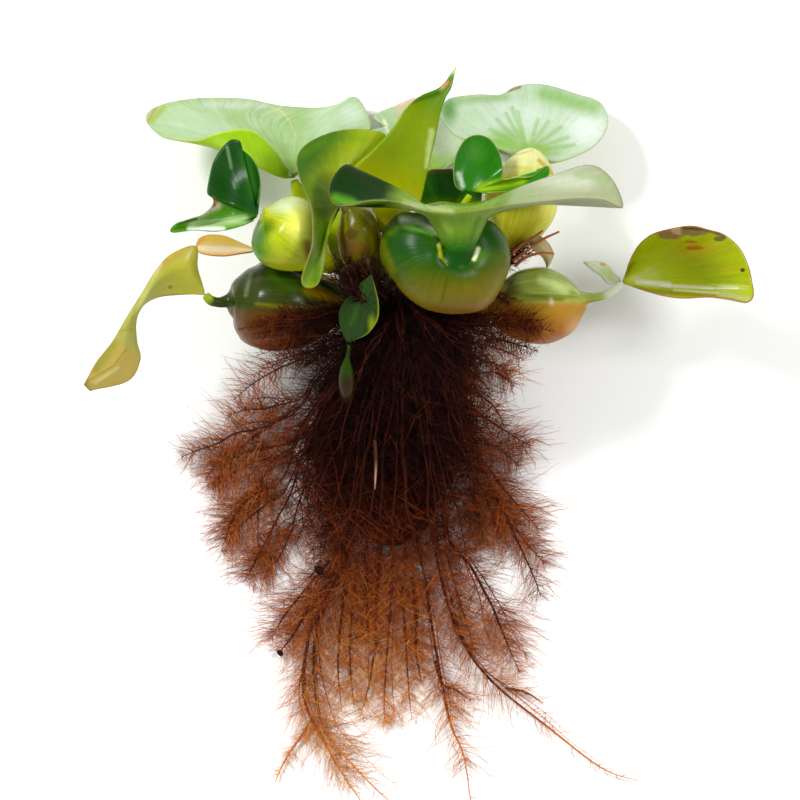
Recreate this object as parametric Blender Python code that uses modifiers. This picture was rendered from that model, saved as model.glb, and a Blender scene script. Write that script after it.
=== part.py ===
"""Water hyacinth plant, picked from the water and laid on its back.

The crown carries a rosette of leaves. Each leaf is a blade on a stalk, and most stalks swell into a
float. Feathery roots fan out from under the crown and lie flat on the surface that the plant rests on.

The plant is drawn on a sheet: x to the right, y down, and height up from the surface, all three in
sheet units. The leaves are towards the top of the sheet and the root tips towards the bottom.
"""

import math

import bmesh
import bpy
from mathutils import Vector

# Driving dimensions, in metres
SPREAD = 0.250           # from the far left leaf's tip to the far right leaf's edge
BLADE_THICKNESS = 0.0012
SHEATH_THICKNESS = 0.0010

# The sheet
SPREAD_UNITS = 667       # the same distance, in sheet units
UNIT = SPREAD / SPREAD_UNITS
ORIGIN = (400, 450)      # the middle of the root clump's flat underside

# How finely the solids are faceted
BROAD_RAYS, BROAD_STEPS = 17, 4
STRAP_STEPS, STRAP_ACROSS = 9, 4
FLOAT_RINGS, FLOAT_RESOLUTION = 12, 3
STALK_RINGS, STALK_RESOLUTION = 7, 1
ROOT_RINGS, ROOT_RESOLUTION = 8, 2
MERGE = 1e-6

# Colour, roughness
LEAF_GREEN = ((0.10, 0.30, 0.02), 0.25)
FLOAT_GREEN = ((0.25, 0.42, 0.03), 0.30)
WILTED = ((0.45, 0.42, 0.05), 0.45)
PAPERY = ((0.42, 0.28, 0.12), 0.60)
CROWN_BROWN = ((0.12, 0.05, 0.02), 0.70)
ROOT_BROWN = ((0.14, 0.035, 0.010), 0.60)
YOUNG_ROOT = ((0.40, 0.10, 0.04), 0.45)

# Broad blades: base is where the stalk joins, and each ring runs round the base from one side of it to
# the other. The last ring is the leaf's edge. bowl moves the middle of a blade that has only its edge.
BROAD_BLADES = {
    "leaf_back_left": {
        "base": (294, 178, 92),
        "rings": [
            [(290, 177, 99), (281, 176, 108), (265, 170, 116), (243, 161, 120), (226, 152, 116),
             (215, 142, 104), (210, 130, 88), (218, 122, 72), (238, 120, 60), (262, 124, 52),
             (286, 130, 48), (306, 130, 48), (324, 126, 54), (335, 126, 66), (334, 138, 80),
             (320, 152, 92), (306, 164, 96), (297, 174, 96)],
            [(289, 172, 108), (274, 150, 126), (252, 132, 136), (222, 134, 136), (196, 143, 128),
             (166, 141, 112), (147, 120, 92), (162, 106, 66), (203, 98, 36), (245, 98, 16),
             (280, 107, 3), (315, 108, 5), (348, 100, 22), (366, 106, 48), (368, 133, 76),
             (340, 150, 96), (312, 160, 104), (299, 172, 102)],
        ],
    },
    "leaf_left": {
        "base": (258, 217, 177),
        "bowl": (0, 0, -8),
        "rings": [
            [(256, 204, 176), (261, 186, 170), (257, 168, 168), (246, 153, 168), (231, 147, 170),
             (219, 158, 178), (212, 176, 186), (210, 195, 192), (216, 206, 194), (203, 217, 198),
             (187, 223, 202), (174, 234, 204), (195, 233, 204), (218, 233, 200), (240, 228, 190),
             (252, 222, 181)],
        ],
    },
    "leaf_front_left": {
        "base": (341, 206, 172),
        "rings": [
            [(346, 202, 170), (352, 188, 167), (358, 175, 164), (350, 172, 168), (340, 172, 172),
             (331, 174, 178), (324, 178, 184), (320, 184, 190), (320, 190, 194), (323, 198, 194),
             (325, 208, 194), (325, 218, 194), (324, 228, 196), (322, 238, 198), (320, 246, 200),
             (321, 250, 200), (324, 246, 199), (326, 238, 197), (329, 228, 192), (333, 218, 186),
             (338, 210, 178)],
            [(352, 196, 166), (368, 165, 156), (386, 139, 150), (366, 132, 154), (341, 133, 162),
             (319, 140, 174), (303, 151, 186), (298, 164, 196), (300, 177, 204), (305, 191, 209),
             (311, 206, 212), (313, 226, 214), (313, 247, 216), (308, 263, 218), (303, 280, 220),
             (307, 289, 219), (318, 287, 216), (324, 272, 211), (327, 250, 205), (331, 232, 195),
             (336, 216, 182)],
        ],
    },
    "leaf_front": {
        "base": (458, 243, 232),
        "rings": [
            [(454, 230, 246), (441, 226, 247), (428, 220, 244), (415, 215, 238), (405, 212, 230),
             (400, 210, 224), (400, 206, 218), (404, 203, 213), (410, 202, 209), (417, 206, 206),
             (425, 210, 207), (433, 212, 207), (441, 213, 207), (449, 213, 207), (457, 213, 207),
             (468, 212, 206), (480, 209, 204), (492, 204, 201), (503, 200, 205), (512, 199, 211),
             (518, 202, 218), (520, 206, 226), (518, 211, 232), (510, 214, 238), (500, 216, 243),
             (490, 218, 246), (481, 221, 247), (470, 227, 247), (458, 230, 246)],
            [(453, 216, 260), (425, 213, 262), (400, 205, 262), (372, 203, 256), (347, 208, 244),
             (333, 205, 234), (330, 190, 222), (338, 174, 212), (349, 168, 206), (364, 180, 198),
             (382, 194, 192), (400, 203, 187), (422, 206, 183), (442, 203, 180), (462, 206, 179),
             (490, 203, 177), (520, 195, 172), (548, 181, 170), (572, 171, 176), (593, 169, 190),
             (609, 181, 208), (618, 198, 226), (619, 210, 238), (600, 203, 250), (572, 202, 258),
             (540, 205, 262), (508, 209, 264), (480, 214, 262), (457, 216, 260)],
        ],
    },
    "leaf_small": {
        "base": (470, 193, 154),
        "bowl": (0, 0, -3),
        "rings": [
            [(462, 193, 157), (455, 187, 158), (453, 172, 158), (456, 156, 156), (464, 142, 154),
             (477, 137, 152), (490, 142, 151), (499, 156, 151), (502, 172, 152), (502, 181, 158),
             (516, 179, 154), (532, 178, 150), (547, 168, 146), (546, 180, 152), (530, 188, 158),
             (508, 194, 162), (486, 195, 161)],
        ],
    },
    "leaf_back_right": {
        "base": (530, 158, 76),
        "bowl": (0, 4, -8),
        "rings": [
            [(522, 156, 82), (502, 150, 88), (476, 142, 88), (453, 134, 82), (439, 117, 68),
             (448, 100, 46), (475, 95, 26), (500, 94, 12), (517, 86, 3.2), (547, 86, 4),
             (578, 95, 14), (602, 105, 34), (606, 125, 56), (592, 148, 74), (568, 160, 84),
             (548, 164, 84), (538, 161, 80)],
        ],
    },
    "leaf_inner": {
        "base": (446, 228, 124),
        "bowl": (0, 0, 2),
        "rings": [
            [(434, 226, 126), (420, 212, 128), (421, 190, 130), (428, 173, 131), (441, 171, 131),
             (455, 171, 131), (470, 174, 130), (480, 185, 129), (480, 205, 127), (468, 220, 125),
             (456, 226, 124)],
        ],
    },
    "leaf_back_middle": {
        "base": (430, 172, 72),
        "bowl": (0, 4, -6),
        "rings": [
            [(418, 168, 78), (398, 150, 84), (372, 133, 80), (386, 127, 66), (374, 117, 56),
             (394, 107, 40), (415, 98, 22), (436, 102, 6), (452, 112, 3), (463, 128, 14),
             (466, 145, 34), (458, 160, 54), (444, 170, 68)],
        ],
    },
    "leaf_far_right": {
        "base": (622, 283, 120),
        "bowl": (0, 0, -14),
        "rings": [
            [(624, 277, 121), (629, 262, 124), (637, 247, 128), (650, 236, 132), (667, 230, 134),
             (688, 227, 134), (706, 231, 133), (722, 236, 131), (737, 249, 128), (746, 266, 126),
             (750, 284, 126), (751, 297, 130), (744, 303, 136), (728, 299, 144), (705, 298, 150),
             (680, 299, 151), (656, 296, 145), (636, 289, 132)],
        ],
    },
    "sheath_middle": {
        "base": (371, 302, 168),
        "bowl": (0, 0, 3),
        "thickness": SHEATH_THICKNESS,
        "rings": [
            [(360, 300, 170), (346, 292, 178), (340, 280, 184), (343, 270, 188), (354, 265, 191),
             (367, 257, 190), (376, 261, 185), (380, 275, 177), (378, 292, 170)],
        ],
    },
}

# Long blades: three lines from the stalk to the tip, which are one edge, the middle and the other edge
STRAP_BLADES = {
    "leaf_middle": [
        [(381, 234, 149), (374, 214, 158), (362, 188, 172), (354, 171, 183), (372, 153, 177),
         (391, 133, 172), (404, 113, 170), (420, 99, 171), (441, 89, 174), (456, 68, 174)],
        [(385, 233, 149), (390, 216, 154), (394, 200, 158), (394, 178, 162), (403, 157, 164),
         (414, 138, 166), (422, 118, 168), (433, 103, 171), (446, 91, 175), (456, 68, 174)],
        [(389, 232, 150), (404, 217, 158), (419, 206, 164), (425, 184, 169), (430, 162, 172),
         (435, 140, 175), (440, 116, 177), (445, 101, 178), (451, 90, 177), (456, 68, 174)],
    ],
    "leaf_far_left": [
        [(204, 286, 124), (199, 268, 128), (197, 247, 134), (172, 256, 142), (156, 274, 143),
         (144, 294, 141), (133, 311, 139), (124, 326, 137), (113, 344, 134), (98, 363, 130),
         (86, 385, 124)],
        [(205, 291, 124), (196, 281, 131), (186, 270, 138), (168, 275, 142), (155, 286, 143),
         (144, 304, 142), (134, 318, 140), (129, 334, 137), (123, 356, 131), (110, 375, 125),
         (88, 387, 122)],
        [(206, 296, 124), (193, 295, 124), (175, 296, 126), (160, 298, 130), (148, 304, 134),
         (141, 313, 136), (138, 325, 133), (139, 342, 127), (142, 360, 120), (130, 381, 117),
         (92, 391, 120)],
    ],
    "leaf_front_bud": [
        [(347, 342, 156), (341, 328, 163), (340, 312, 172), (348, 298, 182), (360, 285, 195),
         (372, 276, 207)],
        [(350, 342, 155), (355, 330, 166), (359, 316, 176), (364, 302, 186), (368, 288, 198),
         (372, 276, 207)],
        [(353, 341, 156), (368, 334, 165), (378, 320, 174), (379, 304, 185), (376, 290, 197),
         (372, 276, 207)],
    ],
    "leaf_withered": [
        [(254, 249, 124), (240, 243, 112), (225, 237, 105), (210, 236, 103), (200, 240, 108),
         (197, 248, 118)],
        [(254, 251, 126), (240, 249, 120), (225, 247, 116), (210, 246, 114), (200, 246, 114),
         (197, 248, 118)],
        [(254, 253, 128), (240, 255, 128), (225, 257, 127), (210, 256, 125), (200, 253, 121),
         (197, 248, 118)],
    ],
    "bract_right": [
        [(618, 279, 113), (613, 274, 109), (606, 266, 106), (596, 262, 105), (582, 263, 106)],
        [(619, 281, 112), (610, 279, 110), (602, 272, 110), (592, 266, 108), (582, 263, 106)],
        [(619, 283, 111), (607, 285, 110), (600, 277, 113), (590, 270, 111), (582, 263, 106)],
    ],
    "sheath_scrap": [
        [(529, 238, 130), (538, 237, 132), (547, 244, 131), (552, 254, 128), (550, 262, 124),
         (546, 269, 120)],
        [(529, 241, 131), (535, 245, 134), (541, 250, 134), (546, 257, 130), (547, 263, 125),
         (546, 269, 120)],
        [(529, 244, 130), (531, 250, 133), (536, 254, 133), (541, 258, 129), (544, 263, 124),
         (546, 269, 120)],
    ],
}

# Stalks and floats: places along the middle, each with the radius there
STALKS = {
    "float_left": [
        (334, 270, 142, 6), (320, 260, 150, 15), (302, 246, 159, 32), (285, 233, 166, 38),
        (273, 224, 171, 31), (266, 219, 174, 13), (263, 218, 175, 5)],
    "float_middle": [
        (386, 277, 134, 6), (374, 268, 144, 14), (363, 255, 152, 21), (360, 240, 158, 22),
        (356, 224, 163, 19), (349, 212, 167, 9), (344, 209, 170, 4)],
    "float_low_left": [
        (356, 301, 118, 6), (345, 302, 115, 13), (328, 304, 112, 27), (304, 306, 110, 40),
        (278, 306, 110, 45), (258, 305, 111, 42), (245, 303, 112, 34), (237, 302, 113, 24),
        (232, 302, 113.5, 14), (228, 302, 114.5, 7), (220, 303, 117, 5), (212, 301, 120, 5),
        (207, 296, 122, 4)],
    "float_low_right": [
        (432, 305, 112, 6), (460, 305, 111, 8), (484, 305, 110, 13), (497, 305, 109, 22),
        (510, 306, 108, 31), (526, 306, 108, 37), (543, 306, 108, 38.5), (558, 305, 108, 34),
        (570, 303, 109, 26), (579, 301, 110, 14), (585, 299, 111, 6), (600, 297, 115, 4),
        (612, 291, 118, 4), (619, 285, 119, 3.5)],
    "float_back_left": [
        (376, 282, 92, 6), (364, 270, 84, 15), (340, 247, 75, 28), (318, 230, 75, 28),
        (304, 208, 80, 13), (298, 192, 86, 7), (295, 182, 90, 4)],
    "float_back_right": [
        (424, 284, 100, 6), (452, 268, 97, 8), (480, 255, 92, 9), (500, 243, 90, 16),
        (512, 228, 92, 28), (519, 208, 97, 36), (523, 190, 101, 34), (526, 176, 103, 25),
        (529, 166, 97, 12), (530, 163, 84, 4)],
    "float_back_middle": [
        (407, 268, 96, 6), (418, 256, 84, 15), (430, 236, 71, 25), (436, 214, 66, 21),
        (434, 194, 66, 10), (431, 177, 69, 4)],
    "stalk_middle": [
        (397, 268, 134, 6), (394, 255, 140, 6), (390, 243, 146, 5.5), (386, 237, 148, 4)],
    "stalk_small": [
        (414, 268, 134, 3), (430, 250, 136.5, 3.5), (446, 230, 140, 3.5), (462, 208, 146, 3.5),
        (469, 197, 150, 3)],
    "stalk_inner": [
        (418, 274, 113, 5), (430, 255, 116, 10), (440, 240, 120, 9), (445, 231, 122, 4)],
    "stalk_withered": [
        (372, 288, 121, 3), (330, 280, 129, 3), (300, 266, 131.5, 2.5), (275, 256, 130, 2.5),
        (258, 251, 127, 2)],
    "stalk_front_bud": [
        (347, 401, 119, 3), (347, 391, 131, 7), (347, 380, 139, 8), (347, 368, 144, 6),
        (348, 358, 149, 2.5), (350, 346, 153.5, 2)],
}

# The front float is a squat body, dented where its stalk leaves it
FRONT_FLOAT_CENTRE = (445, 268, 188)
FRONT_FLOAT_RADII = (63, 47, 50)
FRONT_DENT_TOWARDS = (0.13, -0.60, 0.79)
FRONT_DENT_DEPTH, FRONT_DENT_SPREAD = 0.44, 0.58
FRONT_FLOAT_SEGMENTS, FRONT_FLOAT_RINGS = 20, 14
FRONT_NECK = [(455, 276, 196, 15), (456, 266, 208, 13), (457, 257, 219, 11), (457, 250, 226, 9),
              (457.5, 246, 229.5, 6)]

CROWN = [(401, 276, 118, 7), (400, 284, 118, 16), (400, 294, 117, 18), (402, 304, 116, 16),
         (403, 308, 115, 12)]

YOUNG_ROOTS = {
    "young_root_1": [(512, 262, 128, 1.5), (526, 252, 138, 1.5), (541, 241, 143, 1.4),
                     (558, 233, 146, 1.0)],
    "young_root_2": [(514, 267, 128, 1.5), (526, 258, 139, 1.5), (541, 254, 145, 1.3),
                     (553, 255, 147, 1.0)],
    "young_root_3": [(510, 256, 124, 1.5), (521, 246, 129, 1.5), (530, 240, 136, 1.3),
                     (542, 232, 140, 1.0)],
}

# The root clump: y, middle x, half width, lowest and highest point of each section. What would lie
# below the surface is flattened onto it.
ROOT_CLUMP = [
    (313, 403, 22, 98, 130), (323, 407, 42, 62, 148), (345, 417, 69, 22, 158),
    (375, 401, 94, -30, 138), (410, 392, 100, -50, 108), (450, 386, 104, -45, 82),
    (490, 384, 98, -40, 62), (525, 388, 90, -30, 48), (546, 390, 80, -25, 36),
]
CLUMP_SIDES, CLUMP_RINGS = 18, 9

# Root plumes: each main root with its side roots, as places along it with the plume's half width
ROOT_PLUMES = {
    "root_left_high": [(283, 420, 19), (262, 425, 18), (232, 436, 17), (205, 449, 10), (181, 457, 2)],
    "root_left_middle": [(280, 462, 18), (258, 466, 18), (238, 471, 14), (221, 479, 8), (209, 486, 2)],
    "root_left_low": [(284, 503, 18), (263, 509, 20), (243, 518, 18), (228, 534, 12), (221, 552, 2)],
    "root_left_foot": [(295, 541, 11), (275, 551, 14), (258, 566, 11), (243, 585, 2)],
    "root_right_high": [(496, 388, 10), (505, 391, 16), (517, 397, 12), (529, 402, 2)],
    "root_right_middle": [(494, 430, 14), (506, 433, 17), (521, 439, 11), (535, 444, 2)],
    "root_right_low": [(491, 476, 8), (505, 502, 22), (521, 532, 28), (535, 562, 19), (541, 596, 2)],
    "root_foot_left": [(316, 559, 10.5), (305, 588, 15), (292, 616, 15), (283, 640, 11), (277, 656, 2)],
    "root_long_left": [
        (344, 549, 13), (337, 590, 15.5), (329, 622, 17), (324, 656, 19), (323, 690, 19),
        (330, 718, 14), (342, 742, 8), (362, 768, 4), (392, 804, 1.8)],
    "root_middle_left": [
        (376, 549, 15), (373, 600, 16.5), (367, 640, 17), (364, 680, 15), (359, 720, 2)],
    "root_middle": [(408, 549, 15), (408, 600, 16), (407, 640, 17), (403, 680, 16), (397, 718, 2)],
    "root_long_middle": [
        (440, 549, 14), (441, 600, 15), (443, 640, 16), (447, 680, 17), (452, 715, 14),
        (459, 745, 9), (467, 775, 4), (472, 812, 1.8)],
    "root_long_right": [
        (463, 549, 7), (472, 590, 13), (477, 620, 15), (484, 648, 15), (497, 673, 12),
        (516, 697, 10), (546, 724, 7), (580, 752, 3), (612, 775, 2), (638, 781, 1.8)],
    "root_foot_right": [(489, 562, 7), (501, 590, 12), (509, 620, 14), (516, 645, 11), (523, 673, 2)],
    "root_side_left": [(308, 722, 2.5), (299, 735, 2.5), (287, 757, 2.2), (275, 783, 1.8)],
}
PLUME_FLATNESS = 0.75    # a plume's height over its width
PLUME_SINK = 0.55        # how much of its half height lies above its middle's height


def at(x, y, height):
    """A place on the sheet, in metres."""
    return Vector(((x - ORIGIN[0]) * UNIT, (ORIGIN[1] - y) * UNIT, height * UNIT))


def smooth(values, along):
    """The value at along, from 0 to 1, on a Catmull-Rom curve through the values."""
    last = len(values) - 1
    place = min(max(along, 0.0), 1.0) * last
    i = min(int(place), last - 1)
    t = place - i
    b, c = values[i], values[i + 1]
    a = values[i - 1] if i > 0 else b + (b - c)
    d = values[i + 2] if i + 2 <= last else c + (c - b)
    return 0.5 * (2 * b + (c - a) * t + (2 * a - 5 * b + 4 * c - d) * t ** 2
                  + (3 * b - a - 3 * c + d) * t ** 3)


def material(name, colour_and_roughness):
    colour, roughness = colour_and_roughness
    made = bpy.data.materials.get(name) or bpy.data.materials.new(name)
    made.use_nodes = True
    shader = made.node_tree.nodes["Principled BSDF"]
    shader.inputs["Base Color"].default_value = (*colour, 1)
    shader.inputs["Roughness"].default_value = roughness
    shader.inputs["Metallic"].default_value = 0
    return made


def add(name, data, look):
    """A new object of the plant, with its material."""
    data.materials.clear()
    data.materials.append(look)
    made = bpy.data.objects.new(name, data)
    plant.objects.link(made)
    return made


def surface_mesh(name, columns, rows, place_of):
    """A grid whose points are moved to place_of(across, along), both from 0 to 1."""
    shape = bmesh.new()
    bmesh.ops.create_grid(shape, x_segments=columns, y_segments=rows, size=0.5)
    for vertex in shape.verts:
        vertex.co = place_of(vertex.co.x + 0.5, vertex.co.y + 0.5)
    bmesh.ops.remove_doubles(shape, verts=shape.verts, dist=MERGE)
    bmesh.ops.recalc_face_normals(shape, faces=shape.faces)
    mesh = bpy.data.meshes.new(name)
    shape.to_mesh(mesh)
    shape.free()
    mesh.shade_smooth()
    return mesh


def thicken(sheet, thickness):
    shell = sheet.modifiers.new("Thickness", "SOLIDIFY")
    shell.thickness = thickness
    shell.offset = 0


def broad_blade(name, leaf, look):
    """A blade whose veins run out from its stalk, through its rings, to its edge."""
    base = at(*leaf["base"])
    rings = [[at(*place) for place in ring] for ring in leaf["rings"]]
    if "bowl" in leaf:
        bowl = at(*leaf["bowl"]) - at(0, 0, 0)
        rings.insert(0, [(base + edge) / 2 + bowl for edge in rings[0]])

    def place_of(around, out):
        return smooth([base, *(smooth(ring, around) for ring in rings)], out)

    mesh = surface_mesh(name, BROAD_RAYS, BROAD_STEPS, place_of)
    thicken(add(name, mesh, look), leaf.get("thickness", BLADE_THICKNESS))


def strap_blade(name, lines, look):
    """A blade between three lines, which run from its stalk to its tip."""
    edge, middle, other_edge = ([at(*place) for place in line] for line in lines)

    def place_of(across, along):
        return smooth([smooth(edge, along), smooth(middle, along), smooth(other_edge, along)], across)

    mesh = surface_mesh(name, STRAP_ACROSS, STRAP_STEPS, place_of)
    thicken(add(name, mesh, look), BLADE_THICKNESS)


def tube(name, stops, rings, resolution):
    """A round tube through the stops, each a place and the radius there, as a curve."""
    curve = bpy.data.curves.new(name, "CURVE")
    curve.dimensions = "3D"
    curve.bevel_depth = UNIT
    curve.bevel_resolution = resolution
    curve.use_fill_caps = True
    places = [at(*stop[:3]) for stop in stops]
    spline = curve.splines.new("POLY")
    spline.points.add(rings)
    for number, point in enumerate(spline.points):
        along = number / rings
        point.co = (*smooth(places, along), 1)
        point.radius = smooth([stop[3] for stop in stops], along)
    return curve


def mesh_of(curve):
    """A tube's curve as a closed mesh."""
    holder = bpy.data.objects.new("holder", curve)
    plant.objects.link(holder)
    bpy.context.view_layer.update()
    made = bpy.data.meshes.new_from_object(holder.evaluated_get(bpy.context.evaluated_depsgraph_get()))
    bpy.data.objects.remove(holder)
    shape = bmesh.new()
    shape.from_mesh(made)
    bmesh.ops.remove_doubles(shape, verts=shape.verts, dist=MERGE)
    bmesh.ops.recalc_face_normals(shape, faces=shape.faces)
    shape.to_mesh(made)
    shape.free()
    made.shade_smooth()
    return made


def front_float(look):
    """The dented float in front, joined to the neck that leaves its dent."""
    towards = Vector((FRONT_DENT_TOWARDS[0], -FRONT_DENT_TOWARDS[1], FRONT_DENT_TOWARDS[2])).normalized()
    centre = at(*FRONT_FLOAT_CENTRE)
    shape = bmesh.new()
    bmesh.ops.create_uvsphere(
        shape, u_segments=FRONT_FLOAT_SEGMENTS, v_segments=FRONT_FLOAT_RINGS, radius=1)
    for vertex in shape.verts:
        angle = vertex.co.angle(towards)
        reach = 1 - FRONT_DENT_DEPTH * math.exp(-(angle / FRONT_DENT_SPREAD) ** 2)
        vertex.co = centre + Vector(
            part * radius * UNIT * reach for part, radius in zip(vertex.co, FRONT_FLOAT_RADII))
    mesh = bpy.data.meshes.new("float_front")
    shape.to_mesh(mesh)
    shape.free()
    mesh.shade_smooth()
    body = add("float_front", mesh, look)
    neck = bpy.data.objects.new("neck_to_join", mesh_of(tube("neck", FRONT_NECK, STALK_RINGS, 2)))
    neck.hide_render = True
    neck.display_type = "WIRE"
    helpers.objects.link(neck)
    join = body.modifiers.new("Neck", "BOOLEAN")
    join.operation = "UNION"
    join.object = neck


def root_clump(look):
    """The dense mass of roots under the crown, flat where it lies on the surface."""
    columns = [[section[k] for section in ROOT_CLUMP] for k in range(5)]

    def place_of(around, along):
        y, middle, half_width, low, high = (smooth(column, along) for column in columns)
        angle = 2 * math.pi * around
        height = (low + high) / 2 + (high - low) / 2 * math.sin(angle)
        return at(middle + half_width * math.cos(angle), y, max(height, 0))

    mesh = surface_mesh("root_clump", CLUMP_SIDES, CLUMP_RINGS, place_of)
    shape = bmesh.new()
    shape.from_mesh(mesh)
    bmesh.ops.holes_fill(shape, edges=shape.edges, sides=CLUMP_SIDES)
    bmesh.ops.recalc_face_normals(shape, faces=shape.faces)
    shape.to_mesh(mesh)
    shape.free()
    add("root_clump", mesh, look)


def root_plume(name, stops, look):
    """One main root with its side roots, flattened on the surface."""
    lying = [(x, y, half_width * PLUME_FLATNESS * PLUME_SINK, half_width) for x, y, half_width in stops]
    mesh = mesh_of(tube(name, lying, ROOT_RINGS, ROOT_RESOLUTION))
    for vertex in mesh.vertices:
        vertex.co.z = max(vertex.co.z * PLUME_FLATNESS, 0)
    add(name, mesh, look)


for old in list(bpy.data.objects):
    bpy.data.objects.remove(old)
plant = bpy.data.collections.new("water_hyacinth_plant")
helpers = bpy.data.collections.new("helpers")
bpy.context.scene.collection.children.link(plant)
bpy.context.scene.collection.children.link(helpers)

leaf_look = material("leaf", LEAF_GREEN)
float_look = material("float", FLOAT_GREEN)
wilted_look = material("wilted_leaf", WILTED)
papery_look = material("papery_sheath", PAPERY)
crown_look = material("crown", CROWN_BROWN)
root_look = material("root", ROOT_BROWN)
young_look = material("young_root", YOUNG_ROOT)

WILTED_LEAVES = ("leaf_far_left", "leaf_far_right", "leaf_withered", "bract_right")
SHEATHS = ("sheath_middle", "sheath_scrap")


def look_of(name):
    if name in SHEATHS:
        return papery_look
    return wilted_look if name in WILTED_LEAVES else leaf_look


for name, leaf in BROAD_BLADES.items():
    broad_blade(name, leaf, look_of(name))
for name, lines in STRAP_BLADES.items():
    strap_blade(name, lines, look_of(name))
for name, stops in STALKS.items():
    swollen = name.startswith("float")
    rings, resolution = (FLOAT_RINGS, FLOAT_RESOLUTION) if swollen else (STALK_RINGS, STALK_RESOLUTION)
    add(name, mesh_of(tube(name, stops, rings, resolution)), float_look)
front_float(float_look)
add("crown", mesh_of(tube("crown", CROWN, STALK_RINGS, FLOAT_RESOLUTION)), crown_look)
for name, stops in YOUNG_ROOTS.items():
    add(name, mesh_of(tube(name, stops, STALK_RINGS, 1)), young_look)
root_clump(root_look)
for name, stops in ROOT_PLUMES.items():
    root_plume(name, stops, root_look)
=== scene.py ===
import math

import bmesh
import bpy
import numpy as np
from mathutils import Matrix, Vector


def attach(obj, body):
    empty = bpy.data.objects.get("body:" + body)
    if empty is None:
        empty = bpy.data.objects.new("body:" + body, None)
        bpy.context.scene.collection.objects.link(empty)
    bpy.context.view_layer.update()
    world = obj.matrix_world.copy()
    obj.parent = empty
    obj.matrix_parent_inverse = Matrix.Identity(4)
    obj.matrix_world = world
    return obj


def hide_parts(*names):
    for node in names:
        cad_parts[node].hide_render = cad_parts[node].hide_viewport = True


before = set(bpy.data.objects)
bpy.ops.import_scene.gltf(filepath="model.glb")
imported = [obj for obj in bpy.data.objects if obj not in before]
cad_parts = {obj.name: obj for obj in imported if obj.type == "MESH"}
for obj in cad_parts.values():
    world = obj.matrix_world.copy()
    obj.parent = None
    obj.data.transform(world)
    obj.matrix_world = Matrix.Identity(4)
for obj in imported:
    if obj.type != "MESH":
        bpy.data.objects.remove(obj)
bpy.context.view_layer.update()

# The sheet that the plant is drawn on, as in part.py: x to the right, y down and height up from the
# surface. The sheet's units are the pixels of the photograph.
SPREAD = 0.250           # from the far left leaf's tip to the far right leaf's edge, in metres
SPREAD_UNITS = 667
UNIT = SPREAD / SPREAD_UNITS
ORIGIN = (400, 450)
MERGE = 1e-6

# How thick the blades are, in metres, at the stalk and at the edge
THICK_BASE, THICK_EDGE = 0.0012, 0.0005

# How finely the pieces are divided
BROAD_RAYS, BROAD_STEPS = 84, 34
STRAP_STEPS, STRAP_ACROSS = 64, 24
FLOAT_RINGS, FLOAT_SIDES = 72, 40
STALK_RINGS, STALK_SIDES = 40, 14

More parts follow.
